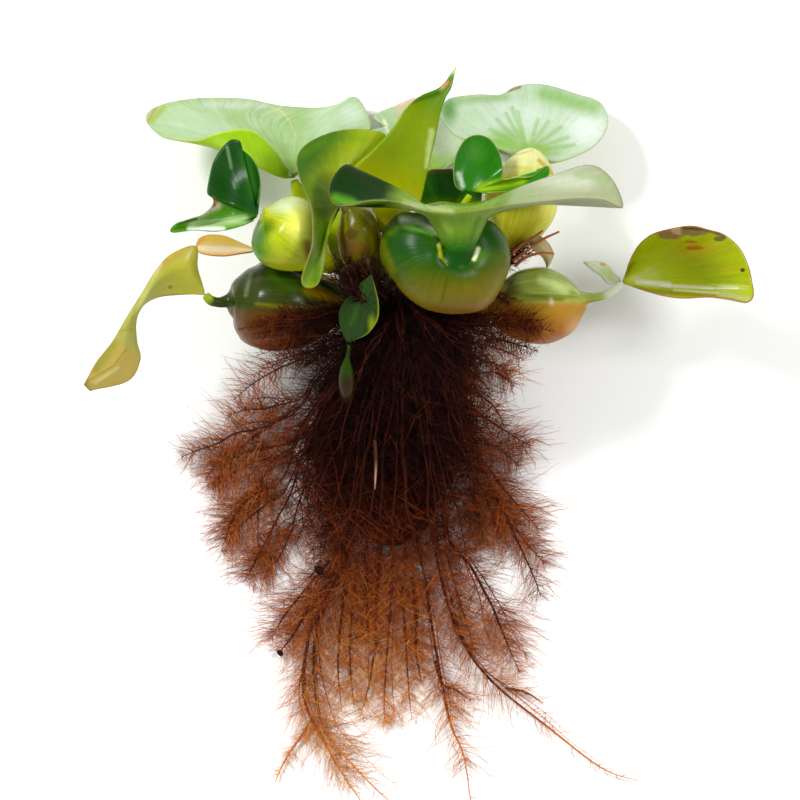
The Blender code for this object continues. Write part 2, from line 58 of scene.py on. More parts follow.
# Broad blades: base is where the stalk joins, and each ring runs round the base from one side of it to
# the other. The last ring is the leaf's edge. bowl moves the middle of a blade that has only its edge.
BROAD_BLADES = {
    "leaf_back_left": {
        "base": (294, 178, 92),
        "rings": [
            [(290, 177, 99), (281, 176, 108), (265, 170, 116), (243, 161, 120), (226, 152, 116),
             (215, 142, 104), (210, 130, 88), (218, 122, 72), (238, 120, 60), (262, 124, 52),
             (286, 130, 48), (306, 130, 48), (324, 126, 54), (335, 126, 66), (334, 138, 80),
             (320, 152, 92), (306, 164, 96), (297, 174, 96)],
            [(289, 172, 108), (274, 150, 126), (252, 132, 136), (222, 134, 136), (196, 143, 128),
             (166, 141, 112), (147, 120, 92), (162, 106, 66), (203, 98, 36), (245, 98, 16),
             (280, 107, 3), (312, 109, 5), (336, 106, 13), (352, 98, 22), (361, 101, 32), (368, 116, 54),
             (369, 133, 76),
             (340, 150, 96), (312, 160, 104), (299, 172, 102)],
        ],
    },
    "leaf_left": {
        "base": (258, 217, 177),
        "bowl": (0, 0, -8),
        "rings": [
            [(259, 206, 178), (262, 188, 172), (259, 171, 170), (252, 159, 168), (243, 151, 168),
             (242, 144, 172), (234, 142, 175), (228, 146, 178), (222, 153, 181), (215, 165, 184),
             (211, 182, 190), (210, 196, 194), (216, 202, 188), (213, 210, 196), (204, 218, 200),
             (190, 222, 202), (178, 226, 206), (174, 234, 204), (195, 232, 206), (218, 233, 202),
             (240, 228, 192), (254, 223, 182)],
        ],
    },
    "leaf_front_left": {
        "base": (341, 206, 172),
        "rings": [
            [(346, 202, 170), (352, 188, 167), (358, 175, 164), (350, 172, 168), (340, 172, 172),
             (331, 174, 178), (324, 178, 184), (320, 184, 190), (320, 190, 194), (323, 198, 194),
             (325, 208, 194), (325, 218, 194), (324, 228, 196), (322, 238, 198), (320, 246, 200),
             (321, 250, 200), (324, 246, 199), (326, 238, 197), (329, 228, 192), (333, 218, 186),
             (338, 210, 178)],
            [(352, 196, 166), (368, 165, 156), (386, 139, 150), (366, 132, 154), (341, 133, 162),
             (319, 140, 174), (303, 151, 186), (298, 164, 196), (300, 177, 204), (305, 191, 209),
             (311, 206, 212), (313, 226, 214), (313, 247, 216), (308, 263, 218), (303, 280, 220),
             (307, 289, 219), (318, 287, 216), (324, 272, 211), (327, 250, 205), (331, 232, 195),
             (336, 216, 182)],
        ],
    },
    "leaf_front": {
        "base": (458.5, 250, 221),
        "mouth": 12.0,
        "rings": [
            [(458, 230, 244), (446, 228, 245), (436, 224, 243), (427, 219, 239), (420, 215, 233),
             (415, 212, 226), (413, 208, 219), (413, 204, 213), (416, 203, 209), (421, 206, 206),
             (427, 210, 207), (434, 212, 207), (441, 213, 207), (449, 213, 207), (457, 213, 207),
             (466, 212, 206), (475, 210, 204), (485, 206, 203), (494, 203, 206), (501, 202, 211),
             (505, 203, 218), (506, 206, 226), (504, 209, 232), (499, 213, 238), (492, 217, 243),
             (485, 221, 246), (477, 225, 247), (468, 229, 246), (458, 230, 244)],
            [(453, 216, 260), (425, 213, 262), (400, 205, 262), (372, 203, 256), (347, 208, 244),
             (333, 205, 234), (330, 190, 222), (338, 174, 212), (349, 168, 206), (364, 180, 198),
             (382, 194, 192), (400, 203, 187), (422, 206, 183), (442, 203, 180), (462, 206, 179),
             (490, 203, 177), (520, 195, 172), (548, 181, 170), (572, 171, 176), (593, 169, 190),
             (609, 181, 208), (618, 198, 226), (619, 210, 238), (600, 203, 250), (572, 202, 258),
             (540, 205, 262), (508, 209, 264), (480, 214, 262), (457, 216, 260)],
        ],
    },
    "leaf_small": {
        "base": (470, 193, 154),
        "bowl": (0, 0, -3),
        "rings": [
            [(462, 193, 157), (455, 187, 158), (453, 172, 158), (456, 156, 156), (464, 142, 154),
             (477, 137, 152), (490, 142, 151), (499, 156, 151), (502, 172, 152), (502, 181, 158),
             (516, 179, 154), (532, 178, 150), (547, 168, 146), (546, 180, 152), (530, 188, 158),
             (508, 194, 162), (486, 195, 161)],
        ],
    },
    "leaf_back_right": {
        "base": (530, 158, 76),
        "bowl": (0, 4, -8),
        "rings": [
            [(522, 156, 82), (502, 150, 88), (476, 142, 88), (453, 134, 82), (439, 117, 68),
             (448, 100, 46), (475, 95, 26), (500, 94, 12), (517, 86, 3.2), (547, 86, 4),
             (578, 95, 14), (602, 105, 34), (606, 125, 56), (592, 148, 74), (568, 160, 84),
             (548, 164, 84), (538, 161, 80)],
        ],
    },
    "leaf_inner": {
        "base": (446, 228, 124),
        "bowl": (0, 0, 2),
        "rings": [
            [(434, 226, 126), (420, 212, 128), (421, 190, 130), (428, 173, 131), (441, 171, 131),
             (455, 171, 131), (470, 174, 130), (480, 185, 129), (480, 205, 127), (468, 220, 125),
             (456, 226, 124)],
        ],
    },
    "leaf_back_middle": {
        "base": (430, 172, 72),
        "bowl": (0, 4, -6),
        "rings": [
            [(418, 168, 78), (398, 150, 84), (372, 133, 80), (386, 127, 66), (374, 117, 56),
             (394, 107, 40), (415, 98, 22), (436, 102, 6), (452, 112, 3), (463, 128, 14),
             (466, 145, 34), (458, 160, 54), (444, 170, 68)],
        ],
    },
    "leaf_far_right": {
        "base": (622, 283, 120),
        "bowl": (0, 0, -14),
        "rings": [
            [(624, 277, 121), (629, 262, 124), (637, 247, 128), (650, 236, 132), (667, 230, 134),
             (688, 227, 134), (706, 231, 133), (722, 236, 131), (737, 249, 128), (746, 266, 126),
             (750, 284, 126), (751, 297, 130), (744, 303, 136), (728, 299, 144), (705, 298, 150),
             (680, 299, 151), (656, 296, 145), (636, 289, 132)],
        ],
    },
    "sheath_middle": {
        "base": (371, 302, 168),
        "bowl": (0, 0, 3),
        "rings": [
            [(360, 300, 170), (346, 292, 178), (340, 280, 184), (343, 270, 188), (354, 265, 191),
             (367, 257, 190), (376, 261, 185), (380, 275, 177), (378, 292, 170)],
        ],
    },
}

# Long blades: three lines from the stalk to the tip, which are one edge, the middle and the other edge
STRAP_BLADES = {
    "leaf_middle": [
        [(381, 234, 149), (374, 214, 158), (362, 188, 172), (354, 171, 183), (372, 153, 177),
         (391, 133, 172), (404, 113, 170), (420, 99, 171), (441, 89, 174), (456, 68, 174)],
        [(385, 233, 149), (390, 216, 154), (394, 200, 158), (394, 178, 162), (403, 157, 164),
         (414, 138, 166), (422, 118, 168), (433, 103, 171), (446, 91, 175), (456, 68, 174)],
        [(389, 232, 150), (404, 217, 158), (419, 206, 164), (425, 184, 169), (430, 162, 172),
         (435, 140, 175), (440, 116, 177), (445, 101, 178), (451, 90, 177), (456, 68, 174)],
    ],
    "leaf_far_left": [
        [(204, 286, 124), (199, 268, 128), (197, 247, 134), (172, 256, 142), (156, 274, 143),
         (144, 294, 141), (133, 311, 139), (124, 326, 137), (113, 344, 134), (98, 363, 130),
         (86, 385, 124)],
        [(205, 291, 124), (196, 281, 131), (186, 270, 138), (168, 275, 142), (155, 286, 143),
         (144, 304, 142), (134, 318, 140), (129, 334, 137), (123, 356, 131), (110, 375, 125),
         (88, 387, 122)],
        [(206, 296, 124), (193, 295, 124), (175, 296, 126), (160, 298, 130), (148, 304, 134),
         (141, 313, 136), (138, 325, 133), (139, 342, 127), (142, 360, 120), (130, 381, 117),
         (92, 391, 120)],
    ],
    "leaf_front_bud": [
        [(347, 342, 156), (341, 328, 163), (340, 312, 172), (348, 298, 182), (360, 285, 195),
         (372, 276, 207)],
        [(350, 342, 155), (355, 330, 166), (359, 316, 176), (364, 302, 186), (368, 288, 198),
         (372, 276, 207)],
        [(353, 341, 156), (368, 334, 165), (378, 320, 174), (379, 304, 185), (376, 290, 197),
         (372, 276, 207)],
    ],
    "leaf_withered": [
        [(254, 249, 124), (240, 243, 112), (225, 237, 105), (210, 236, 103), (200, 240, 108),
         (197, 248, 118)],
        [(254, 251, 126), (240, 249, 120), (225, 247, 116), (210, 246, 114), (200, 246, 114),
         (197, 248, 118)],
        [(254, 253, 128), (240, 255, 128), (225, 257, 127), (210, 256, 125), (200, 253, 121),
         (197, 248, 118)],
    ],
    "bract_right": [
        [(618, 279, 113), (613, 274, 109), (606, 266, 106), (596, 262, 105), (582, 263, 106)],
        [(619, 281, 112), (610, 279, 110), (602, 272, 110), (592, 266, 108), (582, 263, 106)],
        [(619, 283, 111), (607, 285, 110), (600, 277, 113), (590, 270, 111), (582, 263, 106)],
    ],
    "sheath_scrap": [
        [(529, 238, 130), (538, 237, 132), (547, 244, 131), (552, 254, 128), (550, 262, 124),
         (546, 269, 120)],
        [(529, 241, 131), (535, 245, 134), (541, 250, 134), (546, 257, 130), (547, 263, 125),
         (546, 269, 120)],
        [(529, 244, 130), (531, 250, 133), (536, 254, 133), (541, 258, 129), (544, 263, 124),
         (546, 269, 120)],
    ],
}

# Stalks and floats: places along the middle, each with the radius there
STALKS = {
    "float_left": [
        (334, 270, 142, 6), (320, 260, 150, 15), (302, 246, 159, 32), (285, 233, 166, 38),
        (273, 224, 171, 31), (266, 219, 174, 13), (263, 218, 175, 5)],
    "float_middle": [
        (386, 277, 134, 6), (374, 268, 144, 14), (363, 255, 152, 21), (360, 240, 158, 22),
        (356, 224, 163, 19), (349, 212, 167, 9), (344, 209, 170, 4)],
    "float_low_left": [
        (356, 301, 118, 6), (345, 302, 115, 13), (328, 304, 112, 27), (304, 306, 110, 40),
        (278, 306, 110, 45), (258, 305, 111, 42), (245, 303, 112, 34), (237, 302, 113, 24),
        (232, 302, 113.5, 14), (228, 302, 114.5, 7), (220, 303, 117, 5), (212, 301, 120, 5),
        (207, 296, 122, 4)],
    "float_low_right": [
        (432, 305, 112, 6), (460, 305, 111, 8), (484, 305, 110, 13), (497, 305, 109, 22),
        (510, 306, 108, 31), (526, 306, 108, 37), (543, 306, 108, 38.5), (558, 305, 108, 34),
        (570, 303, 109, 26), (579, 301, 110, 14), (585, 299, 111, 6), (600, 297, 115, 4),
        (612, 291, 118, 4), (619, 285, 119, 3.5)],
    "float_back_left": [
        (376, 282, 92, 6), (364, 270, 84, 15), (340, 247, 75, 28), (318, 230, 75, 28),
        (304, 208, 80, 13), (298, 192, 86, 7), (295, 182, 90, 4)],
    "float_back_right": [
        (424, 284, 100, 6), (452, 268, 97, 8), (480, 255, 92, 9), (500, 243, 90, 16),
        (512, 228, 92, 28), (519, 208, 97, 36), (523, 190, 101, 34), (527, 176, 103, 28),
        (529, 166, 99, 21), (530, 159, 92, 12), (530, 155, 84, 5)],
    "float_back_middle": [
        (407, 268, 96, 6), (418, 256, 84, 15), (430, 236, 71, 25), (436, 214, 66, 21),
        (434, 194, 66, 10), (431, 177, 69, 4)],
    "stalk_middle": [
        (397, 268, 134, 6), (394, 255, 140, 6), (390, 243, 146, 5.5), (386, 237, 148, 4)],
    "stalk_small": [
        (414, 268, 134, 3), (430, 250, 136.5, 3.5), (446, 230, 140, 3.5), (462, 208, 146, 3.5),
        (469, 197, 150, 3)],
    "stalk_inner": [
        (418, 274, 113, 5), (430, 255, 116, 10), (440, 240, 120, 9), (445, 231, 122, 4)],
    "stalk_withered": [
        (372, 288, 121, 3), (330, 280, 129, 3), (300, 266, 131.5, 2.5), (275, 256, 130, 2.5),
        (258, 251, 127, 2)],
    "stalk_front_bud": [
        (347, 401, 119, 3), (347, 391, 131, 7), (347, 380, 139, 8), (347, 368, 144, 6),
        (348, 358, 149, 2.5), (350, 346, 153.5, 2)],
}

# The front float is a squat body, dented where its stalk leaves it
FRONT_FLOAT_CENTRE = (444.5, 266, 188)
FRONT_FLOAT_RADII = (64, 49, 50)
FRONT_DENT_TOWARDS = (0.20, -0.36, 0.91)
FRONT_DENT_DEPTH, FRONT_DENT_SPREAD = 0.42, 0.38
FRONT_OUTLINE = [
    (509, 262), (505, 240), (500, 232), (493, 225), (486, 221), (470, 222), (455, 226), (440, 224),
    (424, 217), (412, 214), (402, 214), (395, 218), (388, 225), (382, 235), (380, 250), (381, 262),
    (387, 272), (395, 283), (403, 294), (413, 303), (425, 310), (440, 314), (455, 315), (470, 314),
    (482, 311), (490, 305), (497, 295), (502, 285), (507, 273)]
FRONT_NECK = [(453, 278, 192, 28), (453, 272, 203, 31), (454, 266.5, 209.5, 28), (455.5, 261, 214, 23),
              (457, 256, 217.5, 18.5), (458.5, 250.5, 221.5, 15), (460, 245, 226, 13.2),
              (461, 241, 230, 10)]

CROWN = [(401, 276, 118, 7), (400, 284, 118, 16), (400, 294, 117, 18), (402, 304, 116, 16),
         (403, 308, 115, 12)]

CROWN_SIDE = [(346, 306, 114, 5), (366, 307, 114, 13), (392, 310, 110, 17), (424, 314, 106, 17),
              (456, 315, 104, 15), (486, 313, 104, 10), (504, 312, 104, 5)]

YOUNG_ROOTS = {
    "young_root_1": [(512, 262, 128, 1.5), (526, 252, 138, 1.5), (541, 241, 143, 1.4),
                     (558, 233, 146, 1.0)],
    "young_root_2": [(514, 267, 128, 1.5), (526, 258, 139, 1.5), (541, 254, 145, 1.3),
                     (553, 255, 147, 1.0)],
    "young_root_3": [(510, 256, 124, 1.5), (521, 246, 129, 1.5), (530, 240, 136, 1.3),
                     (542, 232, 140, 1.0)],
}

# The root clump: y, middle x, half width, lowest and highest point of each section. What would lie
# below the surface is flattened onto it.
ROOT_CLUMP = [
    (313, 403, 22, 98, 130), (323, 407, 42, 62, 148), (345, 417, 69, 22, 158),
    (375, 401, 94, -30, 138), (410, 392, 100, -50, 108), (450, 386, 104, -45, 82),
    (490, 384, 98, -40, 62), (525, 388, 90, -30, 48), (546, 390, 80, -25, 36),
]


def at(places):
    """Places on the sheet, in metres."""
    return (np.asarray(places, float) * (1, -1, 1) + (-ORIGIN[0], ORIGIN[1], 0)) * UNIT


def spline(points, along):
    """Places on the smooth curve through the points, for each along from 0 to 1."""
    points = np.asarray(points, float)
    last = len(points) - 1
    before = 2 * points[:1] - points[1:2]
    after = 2 * points[-1:] - points[-2:-1]
    padded = np.concatenate([before, points, after])
    place = np.clip(along, 0, 1) * last
    i = np.minimum(place.astype(int), last - 1)
    t = (place - i).reshape((-1,) + (1,) * (points.ndim - 1))
    a, b, c, d = (padded[i + k] for k in range(4))
    return 0.5 * (2 * b + (c - a) * t + (2 * a - 5 * b + 4 * c - d) * t ** 2
                  + (3 * b - a - 3 * c + d) * t ** 3)


def unit_vectors(vectors):
    return vectors / np.maximum(np.linalg.norm(vectors, axis=-1, keepdims=True), 1e-12)


def new_mesh(name, places, *faces_of_a_kind):
    """A mesh from its places and one array of faces for each number of corners."""
    mesh = bpy.data.meshes.new(name)
    mesh.vertices.add(len(places))
    mesh.vertices.foreach_set("co", places.astype(np.float32).ravel())
    corners = np.concatenate([faces.ravel() for faces in faces_of_a_kind])
    sizes = np.concatenate([np.full(len(faces), faces.shape[1]) for faces in faces_of_a_kind])
    mesh.loops.add(len(corners))
    mesh.loops.foreach_set("vertex_index", corners.astype(np.int32))
    mesh.polygons.add(len(sizes))
    mesh.polygons.foreach_set("loop_start", (np.cumsum(sizes) - sizes).astype(np.int32))
    mesh.update(calc_edges=True)
    mesh.shade_smooth()
    return mesh


def keep_values(mesh, **values):
    """Gives every point of the mesh its value of each name, for the materials to read."""
    for name, numbers in values.items():
        kept = mesh.attributes.new(name, "FLOAT", "POINT")
        kept.data.foreach_set("value", np.ascontiguousarray(numbers, np.float32).ravel())


def add_piece(name, mesh, look, slot, *nodes):
    """A piece of the plant that stands for CAD nodes."""
    mesh.materials.append(look)
    piece = bpy.data.objects.new(name, mesh)
    bpy.context.scene.collection.objects.link(piece)
    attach(piece, "root")
    for node in nodes:
        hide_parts(node)
    return piece


def tidy(mesh):
    """Joins points in one place, drops the faces that this leaves empty, and turns the faces out."""
    shape = bmesh.new()
    shape.from_mesh(mesh)
    bmesh.ops.remove_doubles(shape, verts=shape.verts, dist=MERGE)
    bmesh.ops.recalc_face_normals(shape, faces=shape.faces)
    shape.to_mesh(mesh)
    shape.free()


# Blades

MOUTH_FRONT = np.array((0, -0.66, 0.75))     # the way the front of a funnel's mouth lies from its middle


def broad_surface(leaf, closed):
    """A grid of places: rays across, from the stalk's end to the leaf's edge along."""
    around = np.linspace(0, 1, BROAD_RAYS)
    out = np.linspace(0, 1, BROAD_STEPS)
    base = at(leaf["base"])
    rings = [spline(at(ring), around) for ring in leaf["rings"]]
    if closed:
        rings = [ring + (ring[0] - ring[-1]) * (around ** 12)[:, None] for ring in rings]
    if "bowl" in leaf:
        bowl = at(leaf["bowl"]) - at((0, 0, 0))
        rings.insert(0, (base + rings[0]) / 2 + bowl)
    if "mouth" in leaf:
        turn = 2 * math.pi * around[:, None]
        start = base + leaf["mouth"] * UNIT * (np.cos(turn) * MOUTH_FRONT - np.sin(turn) * (1, 0, 0))
    else:
        start = np.broadcast_to(base, rings[0].shape)
    grid = spline(np.stack([start, *rings]), out)
    across, along = np.meshgrid(around, out)
    return grid, across, along, along


def strap_surface(lines):
    """A grid of places: one edge to the other across, from the stalk's end to the tip along."""
    across = np.linspace(0, 1, STRAP_ACROSS)
    along = np.linspace(0, 1, STRAP_STEPS)
    edges = np.stack([spline(at(line), along) for line in lines])
    grid = spline(edges, across).transpose(1, 0, 2)
    across, along = np.meshgrid(across, along)
    rim = np.maximum(np.abs(2 * across - 1), np.clip(along * 40 - 39, 0, 1))
    return grid, across, along, rim


def blade(name, surface, ripple, flip=False, closed=False):
    """A blade's mesh: the surface made solid, thick at the stalk and thin at the edge."""
    grid, across, along, rim = surface
    rows, columns = along.shape
    right = np.gradient(grid, axis=1)
    forward = np.gradient(grid, axis=0)
    facing = unit_vectors(np.cross(right, forward))
    if closed:
        facing[:, 0] = facing[:, -1] = unit_vectors(facing[:, 0] + facing[:, -1])
    else:
        facing[0] = unit_vectors(facing[1].mean(axis=0))
    if flip:
        facing = -facing
    turns = 2 * math.pi * across
    waves = np.sin(3 * turns + 3 * along) + 0.6 * np.sin(7 * turns - 4 * along + 1)
    grid = grid + facing * (ripple * UNIT * waves * rim ** 3)[..., None]
    half = (THICK_EDGE + (THICK_BASE - THICK_EDGE) * (1 - rim) ** 1.5)[..., None] / 2
    places = np.concatenate([(grid + facing * half).reshape(-1, 3), (grid - facing * half).reshape(-1, 3)])
    number = np.arange(rows * columns).reshape(rows, columns)
    top = np.stack([number[:-1, :-1], number[:-1, 1:], number[1:, 1:], number[1:, :-1]], -1).reshape(-1, 4)
    under = top[:, ::-1] + rows * columns
    if closed:
        border = np.concatenate([number[-1, :0:-1], number[0, :-1]])
        after = np.concatenate([number[-1, -2::-1], number[0, 1:]])
    else:
        border = np.concatenate([number[0, :-1], number[:-1, -1], number[-1, :0:-1], number[:0:-1, 0]])
        after = np.roll(border, -1)
    walls = np.stack([after, border, border + rows * columns, after + rows * columns], -1)
    mesh = new_mesh(name, places, np.concatenate([top, under, walls]))
    keep_values(
        mesh,
        across=np.concatenate([across, across]),
        along=np.concatenate([along, along]),
        rim=np.concatenate([rim, rim]),
        under=np.concatenate([np.zeros_like(rim), np.ones_like(rim)]))
    tidy(mesh)
    return mesh


# Stalks, floats and roots

def tube(name, stops, rings, sides, ribs=0.0, rib_count=22, shape_of=None):
    """A closed tube through the stops, each a place and the radius there, with fine ribs along it."""
    along = np.linspace(0, 1, rings)
    path = spline(at([stop[:3] for stop in stops]), along)
    radii = np.maximum(spline(np.array([stop[3] for stop in stops])[:, None], along)[:, 0], 0.4) * UNIT
    tangents = unit_vectors(np.gradient(path, axis=0))
    side = unit_vectors(np.cross(tangents[0], (0.2, 0.3, 1.0)))
    sides_at = []
    for tangent in tangents:
        side = unit_vectors(side - tangent * np.dot(side, tangent))
        sides_at.append(side)
    sides_at = np.array(sides_at)
    others = np.cross(tangents, sides_at)
    angles = np.linspace(0, 2 * math.pi, sides, endpoint=False)
    round_it, down_it = np.meshgrid(angles, along)
    swell = 1 + ribs * np.cos(rib_count * round_it + 2.5 * np.sin(3 * down_it)) * np.sin(math.pi * down_it)
    reach = radii[:, None] * swell
    ring = (path[:, None] + (reach * np.cos(round_it))[..., None] * sides_at[:, None]
            + (reach * np.sin(round_it))[..., None] * others[:, None])
    if shape_of is not None:
        ring = shape_of(ring, down_it)
    number = np.arange(rings * sides).reshape(rings, sides)
    after = np.roll(number, -1, axis=1)
    walls = np.stack([number[:-1], after[:-1], after[1:], number[1:]], -1).reshape(-1, 4)
    caps = np.stack([number[0, ::-1], number[-1]])
    mesh = new_mesh(name, ring.reshape(-1, 3), walls, caps)
    keep_values(mesh, across=round_it / (2 * math.pi), along=down_it, rim=np.zeros_like(down_it))
    tidy(mesh)
    return mesh


def strands(paths, radii, tones, sides=3):
    """Many thin tubes at once: their places, walls, end caps and tones."""
    count, length, _ = paths.shape
    tangents = unit_vectors(np.gradient(paths, axis=1))
    side = unit_vectors(np.cross(tangents, np.array((0.11, 0.23, 1.0))))
    other = np.cross(tangents, side)
    places = []
    for k in range(sides):
        angle = 2 * math.pi * k / sides
        places.append(paths + radii[..., None] * (math.cos(angle) * side + math.sin(angle) * other))
    places = np.stack(places, 2)
    number = np.arange(count * length * sides).reshape(count, length, sides)
    after = np.roll(number, -1, axis=2)
    walls = np.stack([number[:, :-1], after[:, :-1], after[:, 1:], number[:, 1:]], -1).reshape(-1, 4)
    caps = np.concatenate([number[:, 0, ::-1], number[:, -1]])
    return places.reshape(-1, 3), walls, caps, np.repeat(tones, sides, axis=1).reshape(-1)


def join_strands(name, parts):
    """One mesh from several sets of strands."""
    first = 0
    places, walls, caps, tones = [], [], {}, []
    for part_places, part_walls, part_caps, part_tones in parts:
        places.append(part_places)
        walls.append(part_walls + first)
        caps.setdefault(part_caps.shape[1], []).append(part_caps + first)
        tones.append(part_tones)
        first += len(part_places)
    mesh = new_mesh(name, np.concatenate(places), np.concatenate(walls),
                    *(np.concatenate(same) for same in caps.values()))
    keep_values(mesh, tone=np.concatenate(tones))
    return mesh


def bareness(places):
    """From 0 to 1, how thin and how short the side roots are at a place: at the lower ends of the roots."""
    x, y = ORIGIN[0] + places[:, 0] / UNIT, ORIGIN[1] - places[:, 1] / UNIT
    right_root = np.minimum((x - 490) / 60, (y - 665) / 60)
    return (np.clip(np.maximum((y - 650) / 170, right_root), 0, 1),
            np.clip(np.maximum((y - 750) / 80, right_root), 0, 1))


def fringe(path, radii, reach, density, tone, rng):
    """The fine side roots of one main root: they leave it at a slant and bend towards its tip."""
    steps = np.linalg.norm(np.diff(path, axis=0), axis=1)
    length = steps.sum()
    s = np.sort(rng.uniform(0.02, 0.995, max(int(density * length / UNIT), 4)))
    thinned = bareness(spline(path, s))[0]
    s = s[rng.uniform(0, 1, len(s)) > 0.78 * thinned]
    count = len(s)
    start = spline(path, s)
    reach = reach * (1 - 0.62 * bareness(start)[1])
    ahead = unit_vectors(spline(path, np.minimum(s + 0.02, 1)) - spline(path, s - 0.02))
    sideways = unit_vectors(np.cross(ahead, (0, 0, 1.0)))
    upward = np.cross(sideways, ahead)
    lean = np.radians(rng.uniform(34, 80, count))[:, None]
    tilt = np.radians(rng.normal(-13, HAIR_TILT, count))[:, None]
    hand = rng.choice((-1.0, 1.0), count)[:, None]
    across = hand * np.cos(tilt) * sideways + np.sin(tilt) * upward
    heading = np.cos(lean) * ahead + np.sin(lean) * across
    size = reach * UNIT * (0.28 + 1.15 * rng.uniform(0, 1, count) ** 1.3) * (0.7 + 0.3 * np.sin(math.pi * s))
    size = (size * np.clip((1 - s) * 6 + 0.25, 0, 1))[:, None]
    turn = ahead * rng.uniform(0.0, 0.45, (count, 1)) + rng.normal(0, 0.15, (count, 3)) * (1, 1, 0.5)
    stages = (0, 0.34, 0.68, 1.0)
    sway = rng.normal(0, 0.075, (len(stages), count, 3)) * (1, 1, 0.6)
    paths = np.stack([start + (heading * t + turn * t ** 2 + bend * t ** 0.5) * size
                      for t, bend in zip(stages, sway)], 1)
    paths[..., 2] = np.maximum(np.abs(paths[..., 2]), 0.00012)
    thin = rng.uniform(0.75, 1.25, count)[:, None]
    widths = HAIR_RADIUS * thin * np.array((1.15, 0.95, 0.75, 0.35))
    shade = tone(s, start)[:, None] + rng.normal(0, 0.09, count)[:, None]
    return strands(paths, widths, shade + np.array((-0.10, 0.0, 0.08, 0.12)))


def main_root(path, radii, tone):
    shade = np.asarray(tone)[None]
    return strands(path[None], radii[None], shade, sides=6)


# Materials

def new_look(name):
    look = bpy.data.materials.new(name)
    look.use_nodes = True
    return look, look.node_tree, look.node_tree.nodes["Principled BSDF"]


def node(tree, kind, *inputs, output=0, **settings):
    """Adds a shader node, fills its inputs in order with values or other nodes' outputs, and gives its output."""
    made = tree.nodes.new("ShaderNode" + kind)
    for key, value in settings.items():
        setattr(made, key, value)
    for socket, value in zip(made.inputs, inputs):
        if isinstance(value, bpy.types.NodeSocket):
            tree.links.new(value, socket)
        elif value is not None:
            socket.default_value = value
    return made.outputs[output]


def point_value(tree, name):
    return node(tree, "Attribute", attribute_name=name, output=2)


def maths(tree, operation, *inputs):
    return node(tree, "Math", *inputs, operation=operation)


def between(tree, value, low, high):
    """0 where the value is at low, 1 where it is at high, and smooth between."""
    return node(tree, "MapRange", value, low, high, 0.0, 1.0, interpolation_type="SMOOTHSTEP")


def blend(tree, amount, below, above):
    made = tree.nodes.new("ShaderNodeMix")
    made.data_type = "RGBA"
    for socket, value in zip((made.inputs[0], made.inputs[6], made.inputs[7]), (amount, below, above)):
        if isinstance(value, bpy.types.NodeSocket):
            tree.links.new(value, socket)
        elif isinstance(value, tuple):
            socket.default_value = (*value, 1)
        else:
            socket.default_value = value
    return made.outputs[2]


def noise(tree, vector, scale, detail=3.0, roughness=0.55):
    return node(tree, "TexNoise", vector, None, scale, detail, roughness)


def streak_noise(tree, lines, stretch, detail=2.0):
    """Noise drawn out along a blade or a float, as many lines wide as given."""
    across = maths(tree, "MULTIPLY", point_value(tree, "across"), float(lines))
    along = maths(tree, "MULTIPLY", point_value(tree, "along"), float(stretch))
    vector = node(tree, "CombineXYZ", across, along, 0.0)
    return noise(tree, vector, 1.0, detail)


# Each layer of a plant's colour is laid over the ones before it, where its mask says.

def wash(start, end, colour, strength=1.0):
    """Grows from nothing at start to all at end, both places on the sheet."""
    def mask(tree, place, mottle, fine):
        first, last = at((*start, 0)), at((*end, 0))
        way = (last - first) / np.dot(last - first, last - first)
        begin = float(np.dot(first, way))
        how_far = node(tree, "VectorMath", place, tuple(way), operation="DOT_PRODUCT", output=1)
        worn = maths(tree, "ADD", how_far, maths(tree, "MULTIPLY", mottle, 0.35))
        return between(tree, worn, begin, begin + 1)
    return mask, colour, strength


def rise(low, high, colour, strength=1.0):
    """Grows from nothing at one height over the surface to all at another."""
    def mask(tree, place, mottle, fine):
        height = node(tree, "SeparateXYZ", place, output=2)
        worn = maths(tree, "ADD", height, maths(tree, "MULTIPLY", mottle, 0.2 * abs(high - low) * UNIT))
        return between(tree, worn, low * UNIT, high * UNIT)
    return mask, colour, strength


def patch(centre, reach, colour, strength=1.0, ragged=0.4, edge=(1.5, 0.1)):
    """A blotch round a place on the sheet."""
    def mask(tree, place, mottle, fine):
        flat = node(tree, "VectorMath", place, (1, 1, 0), operation="MULTIPLY")
        off = node(tree, "VectorMath", flat, tuple(at((*centre, 0))), operation="SUBTRACT")
        size = tuple(1 / (part * UNIT) for part in reach) + (1.0,)
        scaled = node(tree, "VectorMath", off, size, operation="MULTIPLY")
        far = node(tree, "VectorMath", scaled, operation="LENGTH", output=1)
        worn = maths(tree, "ADD", far, maths(tree, "MULTIPLY", mottle, ragged))
        return between(tree, worn, *edge)
    return mask, colour, strength


def spot(centre, reach, colour, strength=1.0, ragged=0.8):
    """A blotch with a clear edge."""
    return patch(centre, reach, colour, strength, ragged, (1.1, 0.75))


